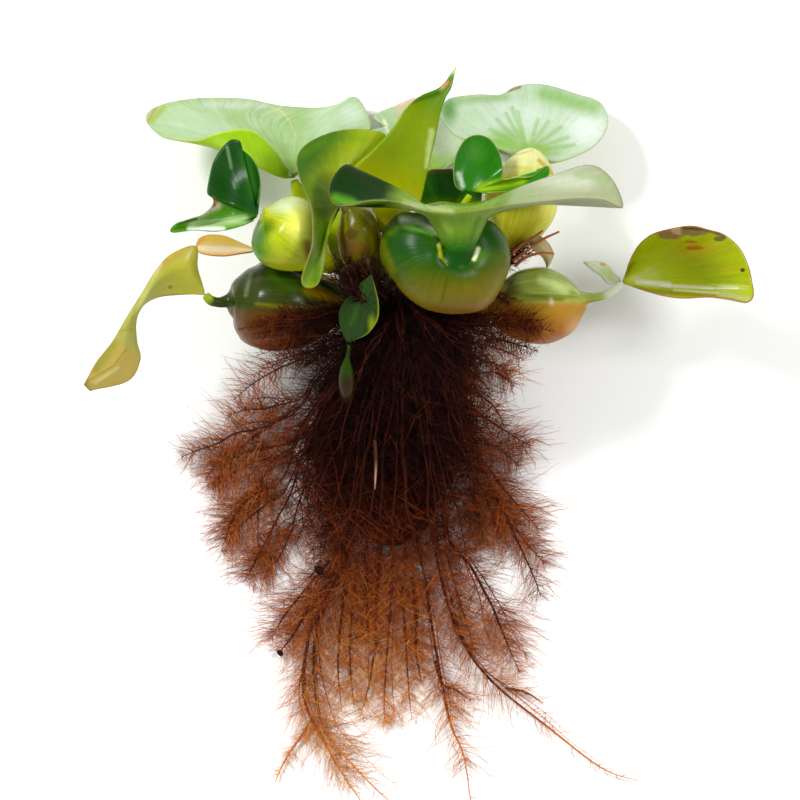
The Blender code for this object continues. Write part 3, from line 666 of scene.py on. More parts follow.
def stripe(start, end, width, colour, strength=1.0, ragged=0.25):
    """A soft line from one place on the sheet to another, broken up by the veins."""
    def mask(tree, place, mottle, fine):
        first, last = at((*start, 0)), at((*end, 0))
        way = last - first
        flat = node(tree, "VectorMath", place, (1, 1, 0), operation="MULTIPLY")
        off = node(tree, "VectorMath", flat, tuple(first), operation="SUBTRACT")
        dot = node(tree, "VectorMath", off, tuple(way / np.dot(way, way)), operation="DOT_PRODUCT", output=1)
        share = node(tree, "Clamp", dot, 0.0, 1.0)
        nearest = node(tree, "VectorMath", tuple(way), None, None, share, operation="SCALE")
        gap = node(tree, "VectorMath", off, nearest, operation="SUBTRACT")
        far = maths(tree, "MULTIPLY", node(tree, "VectorMath", gap, operation="LENGTH", output=1),
                    1 / (width * UNIT))
        worn = maths(tree, "ADD", far, maths(tree, "MULTIPLY", mottle, ragged))
        return maths(tree, "MULTIPLY", between(tree, worn, 1.3, 0.0), between(tree, fine, 0.22, 0.46))
    return mask, colour, strength


def over(name, low, high, colour, strength=1.0):
    """Grows with one of the values that the mesh keeps, such as along or rim."""
    def mask(tree, place, mottle, fine):
        return between(tree, point_value(tree, name), low, high)
    return mask, colour, strength


def plant_look(name, colour, layers, streak=None, lines=120, stretch=2.0, strength=0.4, roughness=0.24,
               coat=0.03, glow=0.0):
    """A waxy living surface: veins or streaks of a second colour, then the layers over them."""
    look, tree, shader = new_look(name)
    place = node(tree, "TexCoord", output=3)
    mottle = maths(tree, "SUBTRACT", noise(tree, place, 240.0, 6.0, 0.7), 0.5)
    fine = streak_noise(tree, lines, stretch)
    broad = streak_noise(tree, lines / 9, stretch / 2)
    body = colour
    if streak is not None:
        lit = maths(tree, "MULTIPLY", between(tree, fine, 0.32, 0.70), strength)
        wide = maths(tree, "MULTIPLY", between(tree, broad, 0.3, 0.7), 0.6 * strength)
        body = blend(tree, lit, blend(tree, wide, colour, streak), streak)
    for mask, layer_colour, layer_strength in layers:
        amount = maths(tree, "MULTIPLY", mask(tree, place, mottle, fine), layer_strength)
        body = blend(tree, amount, body, layer_colour)
    shades = maths(tree, "ADD", maths(tree, "MULTIPLY_ADD", fine, 0.24, 0.78),
                   maths(tree, "MULTIPLY", noise(tree, place, 420.0), 0.20))
    body = node(tree, "VectorMath", body, None, None, shades, operation="SCALE")
    tree.links.new(body, shader.inputs["Base Color"])
    shader.inputs["Roughness"].default_value = roughness
    shader.inputs["Specular IOR Level"].default_value = 0.13
    shader.inputs["Coat Weight"].default_value = coat
    shader.inputs["Coat Roughness"].default_value = 0.10
    if glow:
        shader.inputs["Subsurface Weight"].default_value = glow
        shader.inputs["Subsurface Radius"].default_value = (0.6, 1.0, 0.15)
        shader.inputs["Subsurface Scale"].default_value = 0.003
    relief = maths(tree, "ADD", fine, maths(tree, "MULTIPLY", noise(tree, place, 1500.0), 0.25))
    bumped = node(tree, "Bump", 0.14, 0.0004, None, relief)
    tree.links.new(bumped, shader.inputs["Normal"])
    return look


# The colours, as the scene's light is plain white

SAGE = (0.21, 0.32, 0.12)
# pale sage: painted sheen on leaf_back_left and leaf_back_right, and the vein colour of leaf_back_middle
PALE_SAGE = (0.32, 0.43, 0.27)
# painted sheen: a milky colour laid where the glossy leaves would reflect the bright surroundings, and a painted
# highlight
MILKY_SHEEN = (0.42, 0.50, 0.40)
YELLOW_GREEN = (0.27, 0.36, 0.002)
LIME = (0.40, 0.46, 0.005)
DEEP_GREEN = (0.004, 0.048, 0.002)
MID_GREEN = (0.025, 0.14, 0.003)
BRIGHT_GREEN = (0.09, 0.27, 0.004)
STALK_YELLOW = (0.46, 0.40, 0.002)
OLIVE = (0.06, 0.075, 0.002)
GREY_GREEN = (0.30, 0.36, 0.19)
REDDISH = (0.26, 0.09, 0.04)
RUST = (0.40, 0.11, 0.012)
TAN = (0.56, 0.34, 0.13)
OCHRE = (0.60, 0.44, 0.14)
DRY_BROWN = (0.15, 0.06, 0.022)
DARK_BROWN = (0.030, 0.009, 0.003)
ORANGE_BROWN = (0.30, 0.085, 0.004)
GOLD = (0.50, 0.27, 0.004)
PINKISH = (0.52, 0.36, 0.30)
CREAM = (0.70, 0.66, 0.38)
# painted reflection: a near-white band on leaf_left's lower lobe
WHITE_REFLECTION = (0.82, 0.88, 0.74)

LEAF_LOOKS = {
    "leaf_back_left": dict(
        colour=SAGE, streak=(0.29, 0.41, 0.20), lines=170, strength=0.6,
        layers=[
            # painted sheen: pale and milky patches where the glossy blade would reflect the bright surroundings
            patch((190, 124), (40, 15), PALE_SAGE, 0.8),
            stripe((205, 134), (256, 126), 9, PALE_SAGE, 0.6),
            patch((352, 116), (14, 14), MILKY_SHEEN, 0.75),
            patch((322, 126), (26, 16), PALE_SAGE, 0.7),
            patch((300, 116), (16, 22), (0.14, 0.28, 0.03), 0.5),
            stripe((205, 106), (265, 106), 5, (0.36, 0.41, 0.33), 0.6),
            stripe((232, 120), (284, 150), 8, (0.18, 0.30, 0.08), 0.5),
            over("along", 0.34, 0.05, (0.18, 0.32, 0.03), 0.8),
            # the underside's own yellow-green, brightened as painted light shining through it from behind
            over("under", 0.4, 0.6, (0.30, 0.52, 0.012)),
            stripe((220, 143), (262, 166), 6, (0.44, 0.62, 0.06), 0.6),
            stripe((270, 107), (282, 112), 1.1, (0.50, 0.36, 0.10), 0.7, 0.1),
            stripe((282, 112), (290, 122), 1.1, (0.50, 0.36, 0.10), 0.6, 0.1),
            stripe((290, 122), (296, 137), 1.0, (0.50, 0.40, 0.14), 0.4, 0.1),
            stripe((158, 106), (148, 126), 2.0, (0.30, 0.13, 0.03), 0.8),
            stripe((164, 109), (153, 122), 4.5, (0.22, 0.30, 0.01), 0.8),
            over("rim", 0.990, 0.999, (0.42, 0.36, 0.14), 0.5)]),
    "leaf_left": dict(
        colour=(0.003, 0.035, 0.002), streak=(0.007, 0.066, 0.003), lines=90, strength=0.5, roughness=0.24,
        layers=[
            # painted light on one side of the fold; the pale line down the crease is partly a light vein, partly
            # a painted highlight
            stripe((246, 156), (256, 196), 8, (0.014, 0.10, 0.004), 0.9),
            stripe((229, 150), (233, 170), 2.2, (0.16, 0.28, 0.12), 0.7),
            stripe((233, 170), (240, 190), 1.6, (0.04, 0.14, 0.03), 0.5),
            wash((238, 204), (230, 222), (0.07, 0.25, 0.004), 0.95),
            # painted reflection: a pale, then white, band along the lower lobe
            stripe((196, 226), (246, 222), 6, (0.36, 0.50, 0.22), 0.8),
            stripe((192, 231), (225, 231), 3.5, WHITE_REFLECTION, 0.85),
            stripe((202, 218), (220, 208), 4.5, (0.34, 0.27, 0.20), 0.9, 0.8),
            spot((215, 204), (4, 6), DRY_BROWN, 0.95),
            stripe((181, 225), (198, 221), 2.6, DARK_BROWN, 0.9, 0.8),
            over("rim", 0.975, 0.995, MID_GREEN, 0.5)]),
    "leaf_front_left": dict(
        colour=(0.20, 0.27, 0.001), streak=(0.27, 0.32, 0.002), lines=150, strength=0.4, glow=0.1,
        layers=[
            patch((345, 141), (26, 5), (0.13, 0.25, 0.003), 0.7),
            wash((336, 186), (306, 166), (0.025, 0.085, 0.001), 0.97),
            stripe((330, 140), (304, 156), 7, (0.05, 0.14, 0.001), 0.8),
            stripe((320, 196), (326, 232), 16, (0.055, 0.125, 0.003), 0.95),
            stripe((322, 232), (316, 280), 12, (0.06, 0.135, 0.004), 0.95),
            stripe((309, 208), (314, 256), 5.5, (0.17, 0.20, 0.09), 0.95),
            stripe((313, 256), (306, 284), 6, (0.10, 0.17, 0.014), 0.85),
            stripe((332, 206), (329, 236), 3, (0.18, 0.24, 0.003), 0.6),
            over("under", 0.4, 0.6, (0.03, 0.10, 0.01), 0.85),
            over("rim", 0.994, 1.0, (0.20, 0.13, 0.03), 0.6)]),
    "leaf_front": dict(
        colour=(0.10, 0.19, 0.006), streak=(0.17, 0.26, 0.04), lines=130, strength=0.5,
        layers=[
            wash((480, 208), (552, 190), (0.25, 0.28, 0.155)),
            patch((572, 184), (36, 9), (0.40, 0.43, 0.32), 0.8),
            patch((604, 188), (14, 16), (0.24, 0.28, 0.14), 0.7),
            stripe((575, 178), (605, 182), 4, (0.16, 0.30, 0.08), 0.5),
            stripe((405, 207), (450, 214), 5, (0.32, 0.40, 0.15), 0.7),
            # painted shade: the left lobe's inner face darkened to near black
            wash((404, 206), (380, 199), (0.003, 0.022, 0.0005)),
            stripe((350, 172), (382, 196), 5, (0.010, 0.020, 0.003), 0.8),
            stripe((336, 201), (352, 206), 7, (0.06, 0.20, 0.002), 0.95),
            stripe((346, 207), (385, 204), 3, (0.07, 0.17, 0.004), 0.9),
            patch((458, 232), (18, 14), (0.10, 0.21, 0.004), 0.6),
            stripe((440, 222), (450, 234), 4, (0.20, 0.32, 0.03), 0.5),
            stripe((478, 222), (470, 240), 4, (0.04, 0.14, 0.002), 0.6),
            # painted shade: darker down into the funnel's throat
            wash((457, 232), (458, 252), (0.010, 0.085, 0.001), 0.95),
            over("rim", 0.994, 1.0, (0.20, 0.13, 0.05), 0.6)]),
    "leaf_small": dict(
        colour=(0.011, 0.12, 0.0015), streak=(0.020, 0.15, 0.003), lines=80, strength=0.4, roughness=0.24,
        layers=[
            patch((474, 154), (11, 12), (0.05, 0.18, 0.02), 0.7),
            patch((466, 172), (8, 10), (0.020, 0.13, 0.006), 0.7),
            # painted highlight on the upright lobe's lower edge
            stripe((458, 176), (462, 188), 3.5, MILKY_SHEEN, 0.8),
            stripe((480, 190), (520, 183), 7, (0.24, 0.40, 0.006), 0.9),
            stripe((506, 180), (544, 168), 5, (0.05, 0.22, 0.006), 0.85),
            stripe((512, 178), (534, 172), 2, (0.50, 0.62, 0.25), 0.7),
            over("rim", 0.984, 0.998, (0.30, 0.28, 0.06), 0.6)]),
    "leaf_back_right": dict(
        colour=(0.29, 0.39, 0.24), streak=(0.36, 0.45, 0.33), lines=150, strength=0.6,
        layers=[
            # painted sheen: milky and pale patches across the glossy blade
            patch((515, 116), (50, 16), MILKY_SHEEN, 0.9),
            patch((586, 130), (22, 20), (0.50, 0.55, 0.50), 0.95),
            patch((470, 118), (22, 12), PALE_SAGE, 0.8),
            patch((448, 110), (10, 18), (0.05, 0.17, 0.008), 0.85),
            stripe((458, 101), (505, 97), 6, (0.17, 0.29, 0.08), 0.7),
            stripe((545, 94), (592, 108), 11, (0.15, 0.30, 0.05), 0.75),
            patch((504, 143), (18, 13), (0.15, 0.30, 0.02), 0.85),
            patch((540, 152), (18, 9), (0.17, 0.32, 0.04), 0.7),
            *[stripe(end, (527, 152), 3.0, (0.14, 0.29, 0.035), 0.55, 1.2) for end in (
                (497, 120), (506, 114), (512, 108), (518, 112), (490, 130), (488, 140), (538, 120),
                (548, 122), (560, 128), (568, 138), (574, 146))],
            over("along", 0.30, 0.05, (0.20, 0.32, 0.02), 0.8),
            over("under", 0.4, 0.6, YELLOW_GREEN, 0.8),
            stripe((508, 91), (520, 87), 2.2, DRY_BROWN, 0.8),
            over("rim", 0.992, 0.999, (0.34, 0.38, 0.20), 0.5)]),
    "leaf_inner": dict(
        colour=(0.008, 0.085, 0.002), streak=MID_GREEN, lines=90, strength=0.5,
        layers=[
            wash((445, 196), (446, 216), (0.24, 0.28, 0.003), 0.75),
            stripe((428, 173), (460, 172), 3, DRY_BROWN, 0.85),
            over("rim", 0.97, 0.99, DRY_BROWN, 0.6)]),
    "leaf_back_middle": dict(
        colour=(0.28, 0.38, 0.17), streak=PALE_SAGE, lines=90, strength=0.5,
        layers=[
            patch((448, 138), (24, 26), (0.46, 0.54, 0.38), 0.9),
            patch((446, 162), (20, 9), (0.16, 0.30, 0.03), 0.7),
            stripe((400, 104), (416, 100), 5, (0.62, 0.36, 0.26), 0.9),
            patch((405, 112), (12, 6), (0.62, 0.44, 0.32), 0.5),
            stripe((384, 122), (388, 132), 3, (0.60, 0.62, 0.44), 0.7),
            over("along", 0.45, 0.1, (0.22, 0.38, 0.02), 0.8)]),
    "leaf_far_right": dict(
        colour=(0.23, 0.30, 0.001), streak=(0.33, 0.36, 0.003), lines=150, strength=0.7, glow=0.08,
        layers=[
            patch((680, 262), (46, 16), (0.24, 0.28, 0.003), 0.6),
            patch((694, 250), (30, 10), (0.34, 0.26, 0.006), 0.8),
            spot((689, 243), (7, 1.6), (0.30, 0.10, 0.008), 0.85, 1.4),
            spot((693, 249), (9, 2.4), (0.30, 0.09, 0.004), 0.85, 1.4),
            spot((668, 235), (13, 6), (0.22, 0.11, 0.045), 0.95, 1.6),
            spot((676, 232), (9, 4), (0.42, 0.27, 0.15), 0.9, 1.6),
            spot((692, 232), (14, 5), (0.17, 0.10, 0.04), 0.9, 1.6),
            stripe((680, 229), (706, 231), 2.4, (0.07, 0.035, 0.018), 0.95, 0.9),
            stripe((706, 231), (722, 237), 3.2, (0.07, 0.040, 0.020), 0.95, 0.9),
            spot((717, 240), (6, 2.6), (0.10, 0.05, 0.02), 0.8, 1.2),
            spot((740, 271), (2.6, 2.2), DARK_BROWN, 0.9),
            stripe((700, 268), (738, 268), 2.5, (0.36, 0.20, 0.01), 0.35, 0.9),
            stripe((636, 283), (668, 286), 3.6, (0.50, 0.49, 0.36), 0.9, 0.6),
            stripe((660, 286), (710, 289), 2.2, (0.50, 0.49, 0.36), 0.9, 0.6),
            stripe((700, 289), (735, 289), 1.0, (0.54, 0.53, 0.40), 0.8, 0.5),
            stripe((672, 291), (716, 294), 1.6, (0.60, 0.58, 0.34), 0.8, 0.8),
            stripe((640, 292), (712, 297), 3.4, (0.18, 0.14, 0.006), 0.9),
            stripe((718, 294), (746, 300), 4, (0.34, 0.36, 0.16), 0.8),
            patch((634, 280), (7, 4), (0.36, 0.38, 0.12), 0.6),
            over("rim", 0.988, 0.998, (0.30, 0.10, 0.02), 0.85)]),
    "sheath_middle": dict(
        colour=(0.010, 0.004, 0.001), streak=(0.075, 0.030, 0.006), lines=130, strength=0.9, roughness=0.6,
        coat=0.0,
        layers=[
            patch((350, 280), (18, 16), (0.006, 0.002, 0.0008), 0.8, 0.9),
            stripe((368, 262), (376, 286), 3.0, (0.14, 0.085, 0.03), 0.7, 1.6),
            stripe((356, 264), (370, 278), 1.6, (0.13, 0.06, 0.01), 0.6, 1.6),
            over("rim", 0.97, 0.99, (0.06, 0.03, 0.01), 0.5)]),
    "leaf_middle": dict(
        colour=(0.17, 0.225, 0.0005), streak=(0.12, 0.20, 0.001), lines=110, strength=0.5, glow=0.10,
        layers=[
            wash((404, 155), (384, 200), (0.29, 0.285, 0.001), 0.9),
            wash((385, 205), (384, 230), STALK_YELLOW, 0.9),
            stripe((402, 118), (372, 152), 6, (0.16, 0.27, 0.002), 0.6),
            wash((420, 130), (440, 96), (0.055, 0.15, 0.001), 0.85),
            # painted highlight along the blade
            stripe((431, 134), (427, 168), 4.0, (0.38, 0.45, 0.17), 0.7, 1.4),
            stripe((412, 105), (438, 96), 3, (0.03, 0.075, 0.002), 0.8),
            stripe((441, 91), (448, 86), 2.6, RUST, 0.85),
            wash((450, 82), (455, 70), CREAM, 0.9),
            over("under", 0.4, 0.6, MID_GREEN, 0.5),
            over("rim", 0.975, 0.997, (0.12, 0.18, 0.006), 0.6)]),
    "leaf_far_left": dict(
        colour=(0.30, 0.33, 0.004), streak=(0.38, 0.38, 0.012), lines=80, strength=0.6,
        layers=[
            stripe((185, 268), (196, 256), 10, (0.44, 0.40, 0.003), 0.8),
            stripe((157, 271), (190, 251), 4.5, (0.42, 0.20, 0.02), 0.85, 0.9),
            stripe((160, 266), (168, 260), 2.5, (0.16, 0.05, 0.008), 0.8, 0.9),
            wash((176, 288), (150, 300), (0.40, 0.43, 0.14), 0.9),
            wash((146, 308), (128, 328), (0.26, 0.30, 0.08), 0.85),
            stripe((141, 300), (130, 328), 2.5, (0.10, 0.13, 0.01), 0.6),
            wash((126, 336), (118, 350), (0.50, 0.27, 0.08), 0.95),
            stripe((116, 344), (98, 368), 7, (0.14, 0.15, 0.005), 0.95, 0.4),
            stripe((128, 350), (116, 366), 1.1, (0.18, 0.05, 0.01), 0.9, 0.1),
            stripe((116, 366), (92, 380), 1.1, (0.18, 0.05, 0.01), 0.9, 0.1),
            stripe((120, 368), (98, 383), 2.2, CREAM, 0.7, 0.3),
            spot((172, 288), (2.8, 2.0), DARK_BROWN, 0.95),
            patch((87, 382), (5, 6), DARK_BROWN, 0.85),
            stripe((116, 332), (134, 330), 2.4, (0.10, 0.08, 0.01), 0.6),
            over("under", 0.4, 0.6, (0.32, 0.30, 0.05), 0.6),
            over("rim", 0.94, 0.99, (0.42, 0.16, 0.02), 0.8)]),
    "leaf_front_bud": dict(
        colour=(0.009, 0.030, 0.001), streak=(0.018, 0.060, 0.002), lines=50, strength=0.6,
        layers=[
            patch((372, 325), (4, 10), (0.22, 0.30, 0.002), 0.7),
            stripe((364, 290), (352, 325), 3.5, (0.03, 0.10, 0.004), 0.5),
            over("across", 0.93, 1.0, (0.26, 0.32, 0.004), 0.8)]),
    "leaf_withered": dict(
        colour=(0.42, 0.27, 0.045), streak=(0.52, 0.38, 0.11), lines=60, strength=0.7, roughness=0.45,
        layers=[
            over("across", 0.50, 0.66, (0.58, 0.47, 0.32), 0.8),
            over("across", 0.80, 0.95, (0.50, 0.30, 0.08), 0.8),
            stripe((204, 238), (240, 242), 2.5, (0.50, 0.30, 0.02), 0.8),
            stripe((200, 244), (206, 237), 3, (0.55, 0.20, 0.02), 0.8, 0.9),
            over("rim", 0.93, 0.99, (0.45, 0.14, 0.02), 0.9)]),
    "bract_right": dict(
        colour=(0.42, 0.48, 0.28), streak=(0.55, 0.55, 0.42), lines=40, strength=0.8, roughness=0.4,
        layers=[
            patch((606, 274), (10, 8), (0.26, 0.38, 0.08), 0.8),
            spot((602, 265), (4, 2), (0.40, 0.24, 0.06), 0.8),
            over("rim", 0.93, 0.99, (0.42, 0.30, 0.12), 0.6)]),
    "sheath_scrap": dict(
        colour=(0.28, 0.22, 0.07), streak=(0.42, 0.38, 0.20), lines=40, strength=0.7, roughness=0.5,
        layers=[over("rim", 0.88, 0.98, DRY_BROWN, 0.8)]),
}

FLOAT_LOOKS = {
    "float_front": dict(
        colour=(0.010, 0.062, 0.0004), streak=(0.035, 0.085, 0.0005), lines=130, strength=0.5,
        roughness=0.34, coat=0.0,
        layers=[
            wash((436, 254), (446, 304), (0.14, 0.115, 0.0008)),
            over("along", 0.40, 0.52, (0.15, 0.115, 0.002), 0.6),
            stripe((396, 292), (425, 308), 5, (0.18, 0.12, 0.005), 0.6),
            wash((446, 301), (448, 315), (0.17, 0.075, 0.008), 0.9),
            stripe((383, 243), (392, 272), 5, (0.12, 0.13, 0.001), 0.8),
            patch((408, 246), (24, 15), (0.002, 0.048, 0.0004), 0.95),
            stripe((390, 234), (408, 219), 5, (0.08, 0.18, 0.002), 0.8),
            patch((458, 262), (34, 22), (0.003, 0.050, 0.0004), 0.97),
            # painted highlight on the left shoulder: white, with a lime edge
            stripe((403, 221), (420, 222), 5.5, (0.74, 0.84, 0.66), 0.95, 0.5),
            stripe((420, 222), (440, 234), 6, (0.62, 0.74, 0.50), 0.95, 0.5),
            stripe((405, 228), (432, 235), 4, (0.12, 0.30, 0.04), 0.7, 0.9),
            # the pit's left lip: lighter tissue, brightened further as a painted highlight
            stripe((447, 238), (439, 248), 3.2, (0.52, 0.58, 0.12), 0.9, 0.4),
            stripe((439, 248), (440, 258), 2.8, (0.40, 0.42, 0.02), 0.9, 0.4),
            stripe((440, 258), (447, 266), 2.0, (0.24, 0.27, 0.006), 0.8, 0.4),
            # painted highlight right of the pit, with a lime halo
            patch((477, 257), (9, 10), (0.07, 0.16, 0.004), 0.7),
            stripe((477, 251), (473, 261), 3.0, (0.74, 0.80, 0.50), 0.9, 0.7),
            patch((491, 238), (11, 15), (0.004, 0.045, 0.0006), 0.8),
            stripe((447, 276), (441, 304), 1.6, (0.040, 0.045, 0.001), 0.5, 1.4),
            stripe((437, 270), (428, 292), 1.6, (0.040, 0.050, 0.001), 0.4, 1.4)]),
    "front_neck": dict(
        colour=(0.030, 0.14, 0.001), lines=50, coat=0.0, roughness=0.34,
        layers=[
            # painted shade: darker down into the dent
            wash((457, 243), (457, 256), (0.004, 0.052, 0.0005), 1.0)]),
    "float_left": dict(
        colour=(0.28, 0.34, 0.001), streak=(0.42, 0.46, 0.02), lines=130, strength=0.6, glow=0.1,
        layers=[
            wash((276, 232), (255, 238), (0.030, 0.15, 0.0004), 0.95),
            stripe((270, 228), (259, 240), 9, (0.015, 0.10, 0.0004), 0.8, 0.9),
            # painted highlight at the top
            patch((288, 207), (18, 10), (0.46, 0.56, 0.34), 0.9),
            patch((300, 226), (14, 20), (0.70, 0.70, 0.12), 0.9),
            wash((284, 250), (286, 268), (0.34, 0.36, 0.002), 0.8),
            stripe((308, 246), (312, 264), 6, (0.16, 0.06, 0.012), 0.9, 0.8)]),
    "float_middle": dict(
        colour=(0.080, 0.088, 0.0008), streak=(0.15, 0.13, 0.003), lines=120, strength=0.7,
        layers=[
            patch((344, 250), (12, 16), (0.075, 0.028, 0.006), 0.8, 1.2),
            spot((352, 236), (7, 6), (0.07, 0.022, 0.006), 0.6, 1.4),
            stripe((373, 226), (375, 258), 6, (0.26, 0.21, 0.002), 0.7, 0.8),
            spot((360, 250), (10, 9), (0.14, 0.05, 0.006), 0.6, 2.0),
            wash((360, 258), (362, 276), (0.15, 0.10, 0.012), 0.8)]),
    "float_low_left": dict(
        colour=(0.016, 0.026, 0.002), streak=(0.030, 0.050, 0.003), lines=100, strength=0.7,
        layers=[
            stripe((276, 276), (318, 294), 9, (0.030, 0.085, 0.003), 0.8),
            stripe((310, 290), (340, 302), 8, (0.34, 0.20, 0.002), 0.9),
            stripe((258, 305), (300, 309), 3, (0.13, 0.12, 0.003), 0.8, 0.7),
            stripe((300, 309), (332, 306), 3, (0.20, 0.13, 0.003), 0.8, 0.7),
            wash((285, 304), (285, 318), (0.085, 0.032, 0.002), 0.95),
            wash((285, 322), (285, 346), (0.13, 0.034, 0.002), 0.95),
            stripe((264, 262), (252, 274), 3.0, (0.13, 0.13, 0.07), 0.8, 0.6),
            stripe((252, 274), (247, 296), 3.0, (0.13, 0.13, 0.07), 0.8, 0.6),
            stripe((246, 268), (234, 292), 3.5, (0.07, 0.065, 0.02), 0.8, 0.6),
            over("along", 0.88, 0.96, YELLOW_GREEN, 0.8)]),
    "float_low_right": dict(
        colour=(0.12, 0.17, 0.001), streak=(0.40, 0.48, 0.12), lines=36, strength=0.6,
        layers=[
            patch((508, 288), (12, 12), (0.05, 0.07, 0.002), 0.8),
            # painted highlight along the ribs
            stripe((540, 281), (564, 291), 6, (0.56, 0.64, 0.26), 0.6),
            stripe((512, 294), (560, 300), 4, (0.10, 0.09, 0.001), 0.7),
            wash((545, 298), (545, 308), (0.36, 0.16, 0.006), 0.9),
            wash((545, 312), (545, 338), (0.28, 0.085, 0.004), 0.95),
            patch((572, 328), (10, 12), (0.46, 0.26, 0.09), 0.7),
            over("along", 0.84, 0.90, (0.52, 0.55, 0.40), 0.95)]),
    "float_back_left": dict(
        colour=YELLOW_GREEN, streak=LIME, layers=[rise(60, 30, ORANGE_BROWN, 0.6)]),
    "float_back_right": dict(
        colour=(0.42, 0.42, 0.003), streak=(0.58, 0.55, 0.06), lines=110, strength=0.6, glow=0.1,
        layers=[
            wash((528, 180), (526, 164), (0.50, 0.50, 0.22), 0.9),
            stripe((538, 162), (552, 176), 3.0, (0.30, 0.22, 0.02), 0.85, 0.9),
            stripe((508, 158), (532, 152), 1.6, (0.34, 0.30, 0.10), 0.8, 0.9),
            stripe((506, 168), (530, 170), 2.5, (0.42, 0.38, 0.06), 0.6, 0.9),
            patch((545, 208), (9, 14), (0.64, 0.60, 0.12), 0.8),
            patch((492, 200), (11, 8), (0.50, 0.34, 0.01), 0.7),
            wash((508, 226), (506, 246), (0.26, 0.22, 0.004), 0.8)]),
    "float_back_middle": dict(
        colour=YELLOW_GREEN, streak=LIME, layers=[rise(70, 40, ORANGE_BROWN, 0.6)]),
    "stalk_middle": dict(colour=STALK_YELLOW, streak=LIME, lines=30, layers=[]),
    "stalk_small": dict(colour=YELLOW_GREEN, streak=LIME, lines=30, layers=[]),
    "stalk_inner": dict(colour=MID_GREEN, streak=YELLOW_GREEN, lines=30, layers=[]),
    "stalk_withered": dict(colour=OCHRE, streak=TAN, lines=20, roughness=0.5, layers=[]),
    "stalk_front_bud": dict(
        colour=(0.012, 0.036, 0.0006), streak=(0.020, 0.050, 0.001), lines=30, coat=0.0,
        layers=[wash((347, 370), (347, 384), (0.022, 0.010, 0.0006), 0.95)]),
}


def root_look():
    """Roots: near black where they are thick, red-brown, and golden where they are young and thin."""
    look, tree, shader = new_look("root_fibre")
    place = node(tree, "TexCoord", output=3)
    worn = maths(tree, "MULTIPLY_ADD", noise(tree, place, 260.0), 0.30, -0.15)
    tone = maths(tree, "ADD", point_value(tree, "tone"), worn)
    ramp = tree.nodes.new("ShaderNodeValToRGB")
    tree.links.new(tone, ramp.inputs[0])
    ramp.color_ramp.elements[0].color = (*ROOT_TONES[0][1], 1)
    ramp.color_ramp.elements[1].position, ramp.color_ramp.elements[1].color = (
        ROOT_TONES[-1][0], (*ROOT_TONES[-1][1], 1))
    for position, colour in ROOT_TONES[1:-1]:
        ramp.color_ramp.elements.new(position).color = (*colour, 1)
    tree.links.new(ramp.outputs[0], shader.inputs["Base Color"])
    shader.inputs["Roughness"].default_value = 0.5
    shader.inputs["Specular IOR Level"].default_value = 0.05
    return look


ROOT_TONES = [
    (0.0, (0.007, 0.0015, 0.001)), (0.25, (0.050, 0.008, 0.003)), (0.5, (0.26, 0.050, 0.009)),
    (0.75, (0.52, 0.150, 0.026)), (1.0, (0.78, 0.37, 0.05))]


